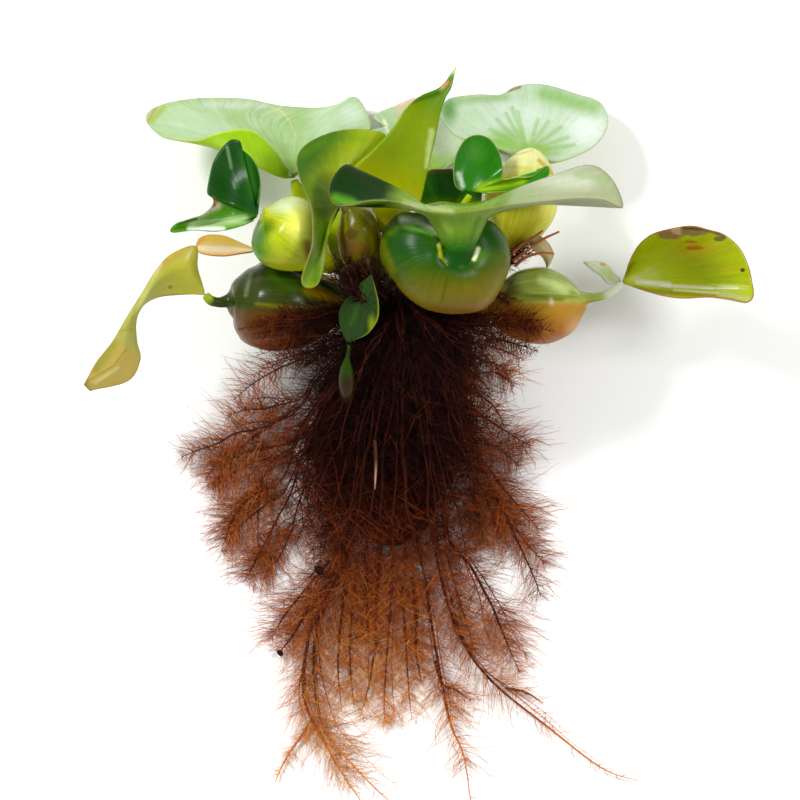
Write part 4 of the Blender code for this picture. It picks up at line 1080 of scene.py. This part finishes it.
# The roots. Each route runs over the sheet from the crown's side to the tip. With it go its height at
# the start and the end, its radius there in sheet units, how far its side roots reach, and how golden it is.
KNOTS = {"root_foot_left": [(319, 570, 20, 4.0), (280, 653, 8, 2.6)]}     # place on the sheet, height, size
ROOT_ROUTES = {
    "root_left_high": [
        ((34, 9), (2.2, 0.8), 36, 0.30, [(300, 405), (270, 425), (245, 430), (225, 438), (212, 447),
                                         (195, 451), (181, 457)]),
        ((26, 12), (2.0, 0.8), 32, 0.25, [(300, 398), (268, 408), (245, 410), (226, 416)]),
        ((60, 16), (1.8, 0.7), 30, 0.20, [(330, 350), (300, 360), (272, 372), (250, 386), (234, 400)]),
        ((70, 30), (1.6, 0.7), 24, 0.15, [(334, 346), (310, 352), (286, 358), (262, 366)]),
        ((24, 8), (2.2, 0.8), 34, 0.20, [(296, 412), (265, 427), (240, 449), (217, 465), (206, 478)])],
    "root_left_middle": [
        ((22, 7), (2.2, 0.9), 34, 0.18, [(295, 440), (262, 448), (230, 458), (220, 477), (215, 486)]),
        ((16, 6), (1.8, 0.7), 30, 0.25, [(290, 452), (255, 462), (232, 474), (212, 490)])],
    "root_left_low": [
        ((20, 7), (2.4, 1.0), 36, 0.12, [(294, 450), (270, 465), (262, 480), (259, 495), (258, 530),
                                         (259, 567)]),
        ((14, 6), (2.0, 0.9), 34, 0.25, [(280, 480), (250, 497), (235, 515), (228, 532), (221, 552)]),
        ((14, 6), (1.8, 0.8), 34, 0.30, [(285, 490), (246, 520), (226, 540)])],
    "root_left_foot": [
        ((16, 6), (2.0, 0.9), 32, 0.22, [(284, 505), (268, 538), (260, 552), (252, 568), (243, 583)]),
        ((12, 5), (1.7, 0.8), 30, 0.35, [(295, 520), (282, 552), (262, 580)]),
        ((40, 10), (2.2, 0.8), 32, 0.20, [(340, 440), (322, 480), (306, 520), (295, 545)]),
        ((36, 10), (2.2, 0.8), 32, 0.22, [(350, 450), (336, 500), (326, 540), (316, 572)])],
    "root_right_high": [
        ((44, 30), (1.8, 0.8), 26, 0.28, [(470, 376), (492, 372), (505, 378), (514, 386)]),
        ((34, 18), (2.2, 0.9), 28, 0.15, [(462, 384), (480, 395), (495, 408), (505, 428)]),
        ((40, 26), (1.6, 0.7), 24, 0.30, [(480, 360), (500, 366), (512, 374)]),
        ((80, 50), (1.6, 0.7), 24, 0.15, [(462, 340), (484, 345), (506, 352), (524, 360)])],
    "root_right_middle": [
        ((26, 12), (2.0, 0.8), 34, 0.25, [(470, 410), (495, 424), (515, 437), (530, 446)]),
        ((22, 10), (1.8, 0.8), 32, 0.25, [(478, 436), (500, 450), (520, 466)])],
    "root_right_low": [
        ((30, 8), (2.8, 1.0), 42, 0.10, [(450, 410), (470, 440), (490, 485), (510, 525), (533, 575),
                                         (541, 597)]),
        ((22, 8), (2.2, 0.9), 40, 0.28, [(476, 450), (500, 484), (522, 510), (540, 530)]),
        ((18, 7), (2.0, 0.9), 38, 0.32, [(478, 480), (505, 515), (528, 545), (546, 565)]),
        ((16, 6), (2.0, 0.9), 34, 0.12, [(475, 500), (480, 525), (484, 545)]),
        ((36, 10), (2.0, 0.8), 32, 0.20, [(456, 440), (478, 480), (494, 520), (503, 552)])],
    "root_foot_left": [
        ((14, 7), (2.6, 1.6), 38, 0.15, [(345, 535), (335, 570), (320, 595), (305, 615), (293, 635),
                                         (280, 652)]),
        ((12, 5), (1.8, 0.8), 42, 0.45, [(330, 560), (305, 590), (285, 615), (270, 640)]),
        ((34, 10), (2.0, 0.8), 30, 0.22, [(362, 460), (352, 510), (344, 550), (338, 585)])],
    "root_long_left": [
        ((16, 5), (2.8, 1.2), 36, 0.35, [
            (352, 545), (340, 580), (325, 600), (317, 620), (314, 645), (314, 670), (315, 690), (318, 710),
            (325, 730), (335, 745), (350, 762), (367, 780), (388, 799), (393, 805)]),
        ((12, 5), (2.2, 1.2), 30, 0.45, [
            (330, 600), (312, 625), (305, 660), (303, 685), (306, 705), (313, 722), (322, 738), (333, 758),
            (345, 778), (360, 800)]),
        ((12, 6), (1.8, 0.8), 36, 0.55, [(345, 590), (340, 630), (338, 670), (342, 712)])],
    "root_middle_left": [
        ((14, 8), (2.6, 1.2), 30, 0.25, [(367, 540), (366, 580), (367, 615), (369, 645)]),
        ((12, 6), (1.8, 0.9), 34, 0.60, [(358, 560), (352, 610), (350, 660), (354, 708)]),
        ((10, 5), (1.8, 0.9), 34, 0.80, [(377, 640), (373, 660), (369, 685), (360, 718)])],
    "root_middle": [
        ((14, 8), (2.4, 1.2), 30, 0.25, [(380, 540), (378, 580), (376, 610), (375, 642)]),
        ((14, 7), (2.2, 1.0), 32, 0.55, [(393, 540), (391, 590), (388, 640), (384, 700), (386, 724)]),
        ((12, 6), (1.4, 0.6), 32, 0.90, [(402, 585), (405, 630), (408, 680), (412, 722)]),
        ((14, 8), (2.0, 0.9), 30, 0.70, [(405, 540), (408, 575), (427, 605)]),
        ((11, 6), (2.2, 1.1), 34, 0.30, [(412, 580), (416, 620), (416, 650), (421, 682)])],
    "root_long_middle": [
        ((18, 5), (3.0, 1.2), 34, 0.25, [
            (405, 500), (412, 520), (420, 550), (424, 580), (430, 610), (437, 665), (446, 705), (451, 725),
            (458, 742), (465, 760), (470, 785), (472, 812)]),
        ((10, 6), (1.8, 0.9), 30, 0.35, [(436, 660), (443, 684), (456, 690), (471, 701)])],
    "root_long_right": [
        ((20, 5), (3.0, 1.0), 36, 0.28, [
            (430, 520), (437, 550), (448, 600), (455, 625), (463, 642), (481, 670), (508, 693), (538, 717),
            (555, 733), (575, 750), (595, 763), (612, 775), (622, 779), (638, 781)]),
        ((14, 7), (2.0, 0.9), 32, 0.35, [(445, 545), (458, 595), (468, 628), (476, 655)]),
        ((7, 5), (1.5, 0.8), 9, 0.40, [(505, 688), (525, 692), (543, 703)])],
    "root_foot_right": [
        ((20, 6), (2.8, 1.1), 40, 0.22, [
            (450, 540), (463, 555), (485, 593), (495, 612), (502, 632), (510, 650), (520, 673)]),
        ((40, 12), (2.0, 0.8), 30, 0.18, [(440, 450), (452, 490), (462, 530), (468, 565)]),
        ((36, 12), (2.0, 0.8), 30, 0.18, [(430, 460), (436, 510), (440, 560), (446, 590)])],
    "root_side_left": [
        ((6, 4), (1.6, 0.9), 12, 0.80, [(311, 720), (300, 738), (290, 752), (280, 770), (275, 783)])],
}
FINE_ROOTS_PER_UNIT = 0.80
COPY_ROOTS_PER_UNIT = 0.50
COPY_SHARE = 0.75
LOW_START, LOW_DENSER, LOW_COPY_SHARE = 530, 1.25, 0.92
LEAD_LIMIT = 560
COPIES_PER_ROUTE = 2
HAIR_RADIUS = 0.000105
HAIR_TILT = 16
THICKER = 1.7
LEAD_THIN = 0.3

# Every main root starts under the crown and runs over the clump to where its route starts
ROOT_START = (401, 322)
LEAD_STEPS = (0.30, 0.65)

# The clump's roots fan out from under the crown over the clump's own shape
CLUMP_ROOTS = 46
CLUMP_FINE_ROOTS_PER_UNIT = 0.62
CLUMP_REACH = 36
CLUMP_CORE = 0.80
CLUMP_CORE_END = 545
PALE_TIP = [(375, 440, 1.4), (376, 452, 1.6), (376, 468, 1.3), (375, 489, 0.5)]
PALE_TIP_OVER_CLUMP = 8

# Roots that lie on the water round the crown, over the low floats: places along each, and how golden it is
CROWN_FIBRES = [
    (0.30, [(392, 298, 140), (364, 306, 148), (330, 316, 156), (288, 322, 160), (246, 324, 148)]),
    (0.34, [(392, 304, 140), (364, 316, 148), (328, 328, 154), (292, 334, 154), (254, 336, 142)]),
    (0.25, [(394, 310, 142), (366, 326, 148), (336, 340, 150), (302, 346, 142), (268, 350, 128)]),
    (0.15, [(396, 312, 144), (376, 334, 150), (350, 350, 146), (322, 360, 134), (296, 366, 120)]),
    (0.30, [(386, 300, 138), (362, 306, 146), (334, 310, 156), (306, 316, 162), (272, 316, 160)]),
    (0.10, [(392, 292, 146), (384, 304, 150), (372, 318, 150), (356, 332, 148), (338, 342, 144)]),
    (0.08, [(396, 290, 150), (398, 304, 160), (400, 322, 164), (404, 342, 160), (406, 364, 148)]),
    (0.12, [(408, 304, 146), (430, 322, 160), (452, 336, 162), (472, 350, 152), (488, 366, 136)]),
    (0.25, [(412, 308, 146), (444, 326, 158), (476, 334, 156), (506, 342, 146), (530, 350, 132)]),
    (0.30, [(414, 308, 146), (450, 322, 158), (484, 326, 156), (514, 328, 150), (542, 332, 146)]),
    (0.28, [(420, 306, 132), (456, 316, 142), (488, 318, 150), (514, 318, 150), (536, 320, 150)]),
    (0.12, [(404, 300, 150), (418, 316, 162), (432, 336, 162), (446, 356, 150), (456, 378, 134)]),
    (0.12, [(398, 304, 154), (388, 324, 160), (376, 344, 158), (362, 362, 148), (350, 382, 132)]),
    (0.30, [(386, 300, 176), (376, 290, 189), (366, 278, 195), (357, 267, 197)]),
    (0.20, [(368, 304, 184), (359, 294, 192), (350, 283, 196), (344, 272, 196)])]
CROWN_FIBRE_REACH = 17
CROWN_FIBRE_STRAYS = 5

# Small dark tufts in the gaps between the stalks: start, end and height
TUFTS = [((352, 296), (332, 268), 176), ((356, 292), (346, 262), 178), ((366, 296), (384, 282), 170),
         ((500, 262), (526, 244), 122), ((498, 268), (528, 256), 120),
         ((490, 296), (514, 300), 138), ((384, 300), (372, 280), 160)]


def clump_section(y):
    """The clump at one level of the sheet: its middle, half width, lowest and highest point."""
    levels = [section[0] for section in ROOT_CLUMP]
    return [np.interp(y, levels, [section[k] for section in ROOT_CLUMP]) for k in (1, 2, 3, 4)]


def clump_top(x, y):
    """How high the clump stands over the surface at a place on the sheet, 0 beside it."""
    middle, half, low, high = clump_section(y)
    round_it = np.sqrt(np.clip(1 - ((x - middle) / half) ** 2, 0, 1))
    end = np.clip((ROOT_CLUMP[-1][0] + 30 - y) / 60, 0, 1)
    return np.maximum((low + high) / 2 + (high - low) / 2 * round_it, 0) * end * (round_it > 0)


def clump_core(look):
    """The dark heart of the clump, under its roots: knotted, and flat where it lies on the surface. Its
    near-black tone is partly the roots' own colour, partly painted shade inside the dense mass.
    """
    around = np.linspace(0, 2 * math.pi, 90, endpoint=False)
    levels = np.linspace(ROOT_CLUMP[0][0] + 2, CLUMP_CORE_END, 56)
    rows = []
    for y in levels:
        middle, half, low, high = clump_section(y)
        end = math.sqrt(max(1 - ((y - 420) / (CLUMP_CORE_END + 2 - 420)) ** 2, 0)) if y > 420 else 1.0
        knots = 0.90 + 0.06 * np.sin(0.11 * y + 5 * around) + 0.05 * np.sin(0.3 * y - 9 * around)
        shrink = CLUMP_CORE * end * (knots + 0.03 * np.sin(0.02 * y + 31 * around))
        rise_to = (low + high) / 2 + (high - low) / 2 * np.sin(around) * shrink
        x = middle + half * np.cos(around) * shrink
        rows.append(np.stack([x, np.full_like(x, y), np.maximum(rise_to, 0)], -1))
    places = at(np.array(rows))
    number = np.arange(places.shape[0] * places.shape[1]).reshape(places.shape[:2])
    after = np.roll(number, -1, axis=1)
    walls = np.stack([number[:-1], number[1:], after[1:], after[:-1]], -1).reshape(-1, 4)
    caps = np.stack([number[0], number[-1, ::-1]])
    tone = np.repeat(0.03 + 0.28 * np.clip((levels - 460) / 85, 0, 1), len(around))
    return places.reshape(-1, 3), walls, caps, tone


def root_path(route, heights, rng=None, stray=0.0):
    """A main root's places on a smooth route, in metres. A stray one has no lead over the clump."""
    flat = spline(np.array(route, float), np.linspace(0, 1, 26))
    down = np.linspace(0, 1, len(flat))
    height = heights[0] + (heights[1] - heights[0]) * down ** 0.7
    if rng is None:
        return flat, np.maximum(height, 2.0)
    sway = rng.normal(0, stray, 2)
    waves = stray * 0.25 * np.sin(rng.uniform(2, 5) * math.pi * down + rng.uniform(0, 6))
    flat = flat + np.outer(down ** 0.7, sway) + waves[:, None] * rng.choice((-1, 1), 2)
    return flat, np.maximum(height * rng.uniform(0.4, 1.5), 2.0)


def led_path(flat, height):
    """The same root with its lead from under the crown, kept on top of the clump."""
    first, crown = flat[0], np.array(ROOT_START, float)
    lead = [crown + (first - crown) * step for step in (0.06,) + LEAD_STEPS]
    sideways = np.array((first[0] - crown[0], 0)) * 0.16
    lead[1] = lead[1] + sideways
    lead[2] = lead[2] + sideways * 0.8
    line = spline(np.array([*lead, *flat[::5]]), np.linspace(0, 1, 40))
    share = np.linspace(0, 1, len(line))
    loose = np.clip(1.2 - 2 * share, 0, 1)
    line[:, 0] += 3.0 * loose * np.sin(23 * share + first[0] * 0.31) + 1.5 * loose * np.sin(51 * share + first[1])
    own = np.interp(share, np.linspace(len(lead) / (len(lead) + 6), 1, len(height)), height)
    top = clump_top(line[:, 0], line[:, 1])
    return at(np.column_stack([line, np.maximum(own, top * 0.97 + 1)]))


def golden(gold, drop=0.0):
    """How light a side root is: lighter along a golden root, at the sides and low on the sheet. The dark middle
    of the mass is partly the older roots' own colour, partly painted shade.
    """
    def tone(s, start):
        x = ORIGIN[0] + start[:, 0] / UNIT
        y = ORIGIN[1] - start[:, 1] / UNIT
        # darker in the middle of the mass: partly the older roots' own colour, partly painted shade
        deep = np.exp(-((x - 388) / 86) ** 4 - np.clip((y - 440) / 88, 0, 9) ** 2)
        low = np.clip((y - 590) / 120, 0, 1)
        return 0.49 + 0.22 * gold * (0.4 + 0.6 * s) - 0.50 * deep + 0.24 * low - drop
    return tone


def plume(name, look, rng):
    """One main fork of the roots, with its side roots."""
    parts = []
    for heights, thickness, reach, gold, route in ROOT_ROUTES[name]:
        low = route[0][1] >= LOW_START and name != "root_long_right"
        for copy in range(COPIES_PER_ROUTE + 1):
            flat, height = root_path(route, heights, rng if copy else None, 0.24 * reach)
            if copy:
                share = LOW_COPY_SHARE if low else COPY_SHARE
                kept = int(len(flat) * share * rng.uniform(0.85, 1.1))
                flat, height = flat[:kept], height[:kept]
            led = copy == 0 and route[0][1] < LEAD_LIMIT
            path = led_path(flat, height) if led else at(np.column_stack([flat, height]))
            down = np.linspace(0, 1, len(path))
            thin = THICKER if copy == 0 else 0.6
            radii = np.interp(down, [0, 0.8, 1], (thickness[0], 1.1 * thickness[1], 0.35 * thickness[1]))
            radii = radii * thin * UNIT / 2
            y = ORIGIN[1] - path[:, 1] / UNIT
            tone = 0.20 + 0.5 * gold * down ** 3 + 0.45 * np.clip((y - 680) / 60, 0, 1)
            if copy:
                tone = tone + 0.12
            if led:
                radii = radii * np.clip(LEAD_THIN + 1.2 * down, 0, 1)
            path[:, 2] = np.maximum(path[:, 2], radii * 1.1)
            parts.append(main_root(path, radii, tone))
            per_unit = COPY_ROOTS_PER_UNIT if copy else FINE_ROOTS_PER_UNIT
            thinned = LOW_DENSER if low else 1.0
            parts.append(fringe(path, radii, reach, per_unit * thinned, golden(gold), rng))
    for x, y, height, size in KNOTS.get(name, ()):
        along = np.linspace(-1, 1, 9)
        path = at(np.column_stack([x + size * along, y + size * along, np.full(9, height)]))
        parts.append(main_root(path, size * UNIT * np.sqrt(1.02 - along ** 2), np.full(9, 0.05)))
    add_piece(name + "_fibres", join_strands(name, parts), look, "root", name)


def clump(look, rng):
    """The roots of the clump: a fan from under the crown, each root keeping to its own depth."""
    parts = [clump_core(look)]
    for k in range(CLUMP_ROOTS):
        across = -1 + 2 * (k + 0.5) / CLUMP_ROOTS + rng.normal(0, 0.05)
        depth = rng.uniform(0.6, 1.0) if k % 3 else 1.0
        end_y = rng.uniform(450, 575)
        y = np.linspace(rng.uniform(318, 350), end_y, 18)
        middle, half, low, high = clump_section(y)
        x = middle + across * half * np.linspace(0.75, 0.97, 18)
        edge = np.sqrt(np.clip(1 - (across * 0.95) ** 2, 0.02, 1))
        height = (low + high) / 2 + (high - low) / 2 * edge * depth * 0.98
        path = at(np.column_stack([x, y, np.maximum(height, 3)]))
        path[1:-1] += rng.normal(0, 0.0009, (16, 3))
        path[:, 2] = np.maximum(path[:, 2], 0.001)
        radii = np.linspace(1.0, 0.5, 18) * UNIT * rng.uniform(0.6, 1.2)
        parts.append(main_root(path, radii, 0.02 + 0.32 * np.clip((y - 440) / 110, 0, 1)))
        parts.append(fringe(path, radii, CLUMP_REACH, CLUMP_FINE_ROOTS_PER_UNIT, golden(0.1, 0.08), rng))
    add_piece("root_clump_fibres", join_strands("root_clump", parts), look, "root", "root_clump")


def crown_fibres(look, rng):
    """Loose roots round the crown: they lie over the low floats and fill the gaps between the stalks."""
    parts = []
    side = spline(at([stop[:3] for stop in CROWN_SIDE]), np.linspace(0, 1, 30))
    for turn in np.linspace(-0.9, 0.9, 5):
        path = side + np.array((0, math.sin(turn), math.cos(turn))) * 13 * UNIT
        parts.append(fringe(path, np.full(30, UNIT), 13, 0.9, golden(0.1, 0.20), rng))
    for gold, line in CROWN_FIBRES:
        for stray in range(CROWN_FIBRE_STRAYS):
            spread = rng.normal(0, 0.9, (len(line), 3)) * np.linspace(1, 6, len(line))[:, None] * (1, 1, 0.5)
            path = spline(at(np.array(line) + spread), np.linspace(0, 1, 20))
            path[1:-1] += rng.normal(0, 0.0003, (18, 3))
            radii = np.linspace(1.1, 0.4, 20) * UNIT * rng.uniform(0.5, 1)
            parts.append(main_root(path, radii, np.linspace(0.10, 0.30, 20)))
            parts.append(fringe(path, radii, CROWN_FIBRE_REACH, 0.74, golden(gold, 0.24), rng))
    for start, end, height in TUFTS:
        for strand in range(6):
            ends = np.array((start, end), float) + rng.normal(0, 4, (2, 2))
            path = at(np.column_stack([np.linspace(*ends, 8), np.full(8, height) + rng.normal(0, 3)]))
            path[1:-1] += rng.normal(0, 0.0004, (6, 3))
            radii = np.linspace(0.9, 0.4, 8) * UNIT
            parts.append(main_root(path, radii, np.full(8, 0.15)))
            parts.append(fringe(path, radii, 9, 0.7, golden(0.1, 0.16), rng))
    add_piece("crown_fibres", join_strands("crown_fibres", parts), look, "root")


# The front float

def front_float(look, neck_look):
    """The dented float in front: two shoulders, a cleft between them, and its stalk rising from the dent."""
    towards = unit_vectors(np.array((FRONT_DENT_TOWARDS[0], -FRONT_DENT_TOWARDS[1], FRONT_DENT_TOWARDS[2])))
    right = unit_vectors(np.cross((0, 1, 0), towards))
    upward = np.cross(towards, right)
    turn = np.linspace(0, 2 * math.pi, 120, endpoint=False)
    down = np.linspace(0.02, math.pi - 0.02, 84)
    turns, downs = np.meshgrid(turn, down)
    level = np.cos(turns)[..., None] * upward + np.sin(turns)[..., None] * right
    ball = np.cos(downs)[..., None] * towards + np.sin(downs)[..., None] * level
    nx, ny, nz = ball[..., 0], ball[..., 1], ball[..., 2]
    dent = FRONT_DENT_DEPTH * np.exp(-(downs / FRONT_DENT_SPREAD) ** 2)
    edge = (np.array(FRONT_OUTLINE, float) - FRONT_FLOAT_CENTRE[:2]) / FRONT_FLOAT_RADII[:2] * (1, -1)
    outline = np.interp(np.arctan2(ny, nx), np.arctan2(edge[:, 1], edge[:, 0]),
                        np.hypot(edge[:, 0], edge[:, 1]), period=2 * math.pi)
    sideways = np.hypot(nx, ny) ** 2.5
    left_edge = np.exp(-((nx + 0.12) / 0.14) ** 2) * np.clip((ny + 0.10) / 0.3, 0, 1) * np.clip(nz, 0, 1)
    right_edge = np.exp(-((nx - 0.52) / 0.14) ** 2) * np.clip((ny + 0.15) / 0.3, 0, 1) * np.clip(nz, 0, 1)
    ribs = 0.004 * np.cos(46 * turns + 2 * np.sin(3 * downs)) * np.sin(downs) ** 2
    size = 1 + (outline - 1) * sideways - dent + 0.11 * left_edge + 0.07 * right_edge + ribs
    reach = size[..., None] * ball
    places = at(FRONT_FLOAT_CENTRE) + reach * np.array(FRONT_FLOAT_RADII) * UNIT
    number = np.arange(turns.size).reshape(turns.shape)
    after = np.roll(number, -1, axis=1)
    walls = np.stack([number[:-1], after[:-1], after[1:], number[1:]], -1).reshape(-1, 4)
    caps = np.stack([number[0, ::-1], number[-1]])
    mesh = new_mesh("float_front", places.reshape(-1, 3), walls, caps)
    keep_values(mesh, across=turns / (2 * math.pi), along=downs / math.pi, rim=np.zeros_like(turns))
    tidy(mesh)
    add_piece("front_float_body", mesh, look, "float", "float_front")
    neck = tube("front_float_neck", FRONT_NECK, STALK_RINGS, FLOAT_SIDES, ribs=0.02)
    add_piece("front_float_neck", neck, neck_look, "float")


# The stage

FLOOR_SIZE = 24.0
CAMERA_HEIGHT = 6.0      # far off with a long lens, as the photograph shows almost no perspective
VIEW_WIDTH = 0.300
SHEET_MIDDLE = 400
PANELS = [((-0.75, 0.70, 1.0), 0.30, 17.0), ((0.85, 0.35, 1.1), 0.36, 10.0)]
SKY = (1.25, 0.35)       # how bright the surroundings are at the sides and overhead


def floor():
    look, tree, shader = new_look("pale_floor")
    shader.inputs["Base Color"].default_value = (0.90, 0.90, 0.89, 1)
    shader.inputs["Roughness"].default_value = 0.75
    half = FLOOR_SIZE / 2
    corners = np.array([(-half, -half, 0), (half, -half, 0), (half, half, 0), (-half, half, 0)], float)
    mesh = new_mesh("floor", corners, np.array([[0, 1, 2, 3]]))
    mesh.materials.append(look)
    made = bpy.data.objects.new("floor", mesh)
    bpy.context.scene.collection.objects.link(made)


def light():
    scene = bpy.context.scene
    world = bpy.data.worlds.new("soft_white")
    world.use_nodes = True
    background = world.node_tree.nodes["Background"]
    background.inputs["Color"].default_value = (1, 1, 1, 1)
    height = node(world.node_tree, "SeparateXYZ", node(world.node_tree, "TexCoord"), output=2)
    bright = node(world.node_tree, "MapRange", height, 0.0, 1.0, *SKY)
    world.node_tree.links.new(bright, background.inputs["Strength"])
    scene.world = world
    for number, (place, size, power) in enumerate(PANELS):
        panel = bpy.data.lights.new(f"panel_{number}", "AREA")
        panel.shape = "DISK"
        panel.size = size
        panel.energy = power
        holder = bpy.data.objects.new(f"panel_{number}", panel)
        holder.location = place
        aim = np.array((0, 0.03, 0.03)) - np.array(place)
        holder.rotation_euler = Vector(aim).to_track_quat("-Z", "Y").to_euler()
        scene.collection.objects.link(holder)
    scene.view_settings.view_transform = "Standard"


def camera():
    data = bpy.data.cameras.new("camera")
    data.sensor_width = 36.0
    data.lens = data.sensor_width * CAMERA_HEIGHT / VIEW_WIDTH
    data.clip_end = 100
    made = bpy.data.objects.new("camera", data)
    spot = at((SHEET_MIDDLE, SHEET_MIDDLE, 0))
    made.location = (spot[0], spot[1], CAMERA_HEIGHT)
    bpy.context.scene.collection.objects.link(made)
    bpy.context.scene.camera = made


# Build

rng = np.random.default_rng(7)
camera()
light()
floor()
RIPPLES = {"leaf_back_left": 1.2, "leaf_back_right": 1.6, "leaf_front": 0.8, "leaf_far_right": 0.5}
FLIPPED = ("leaf_front_left",)
CLOSED = ("leaf_front",)
SLOTS = {"sheath_middle": "papery_sheath", "sheath_scrap": "papery_sheath", "bract_right": "papery_sheath",
         "leaf_withered": "wilted_leaf", "leaf_far_left": "wilted_leaf"}
for name, leaf in BROAD_BLADES.items():
    closed = name in CLOSED
    mesh = blade(name, broad_surface(leaf, closed), RIPPLES.get(name, 0.5), name in FLIPPED, closed)
    look = plant_look(name, **LEAF_LOOKS[name])
    add_piece(name + "_blade", mesh, look, SLOTS.get(name, "leaf"), name)
for name, lines in STRAP_BLADES.items():
    mesh = blade(name, strap_surface(lines), 0.3, name in FLIPPED)
    look = plant_look(name, **LEAF_LOOKS[name])
    add_piece(name + "_blade", mesh, look, SLOTS.get(name, "leaf"), name)
for name, stops in STALKS.items():
    swollen = name.startswith("float")
    rings, sides = (FLOAT_RINGS, FLOAT_SIDES) if swollen else (STALK_RINGS, STALK_SIDES)
    mesh = tube(name, stops, rings, sides, ribs=0.010 if swollen else 0.03, rib_count=26 if swollen else 7)
    add_piece(name + "_body", mesh, plant_look(name, **FLOAT_LOOKS[name]), "float", name)
front_float(*(plant_look(name, **FLOAT_LOOKS[name]) for name in ("float_front", "front_neck")))

root_colour = root_look()
crown_look = plant_look("crown", (0.012, 0.004, 0.002), [], (0.06, 0.018, 0.005), lines=24, strength=0.7,
                        roughness=0.6)
add_piece("crown_body", tube("crown", CROWN, 32, 36, ribs=0.06, rib_count=13), crown_look, "crown", "crown")
add_piece("crown_side_body", tube("crown_side", CROWN_SIDE, 48, 36, ribs=0.10, rib_count=11), crown_look, "crown")
young_look = plant_look("young_root", (0.36, 0.08, 0.03), [], (0.55, 0.20, 0.08), lines=6, roughness=0.35)
for name, stops in YOUNG_ROOTS.items():
    add_piece(name + "_strand", tube(name, stops, 30, 10), young_look, "young_root", name)
pale_look = plant_look("pale_root", (0.05, 0.014, 0.005), [wash((375, 458), (375, 478), (0.42, 0.22, 0.12))])
pale_tip = [(x, y, clump_top(x, y) + PALE_TIP_OVER_CLUMP, width) for x, y, width in PALE_TIP]
add_piece("pale_root_tip", tube("pale_root_tip", pale_tip, 30, 10), pale_look, "young_root")
clump(root_colour, rng)
crown_fibres(root_colour, rng)
for name in ROOT_ROUTES:
    plume(name, root_colour, rng)
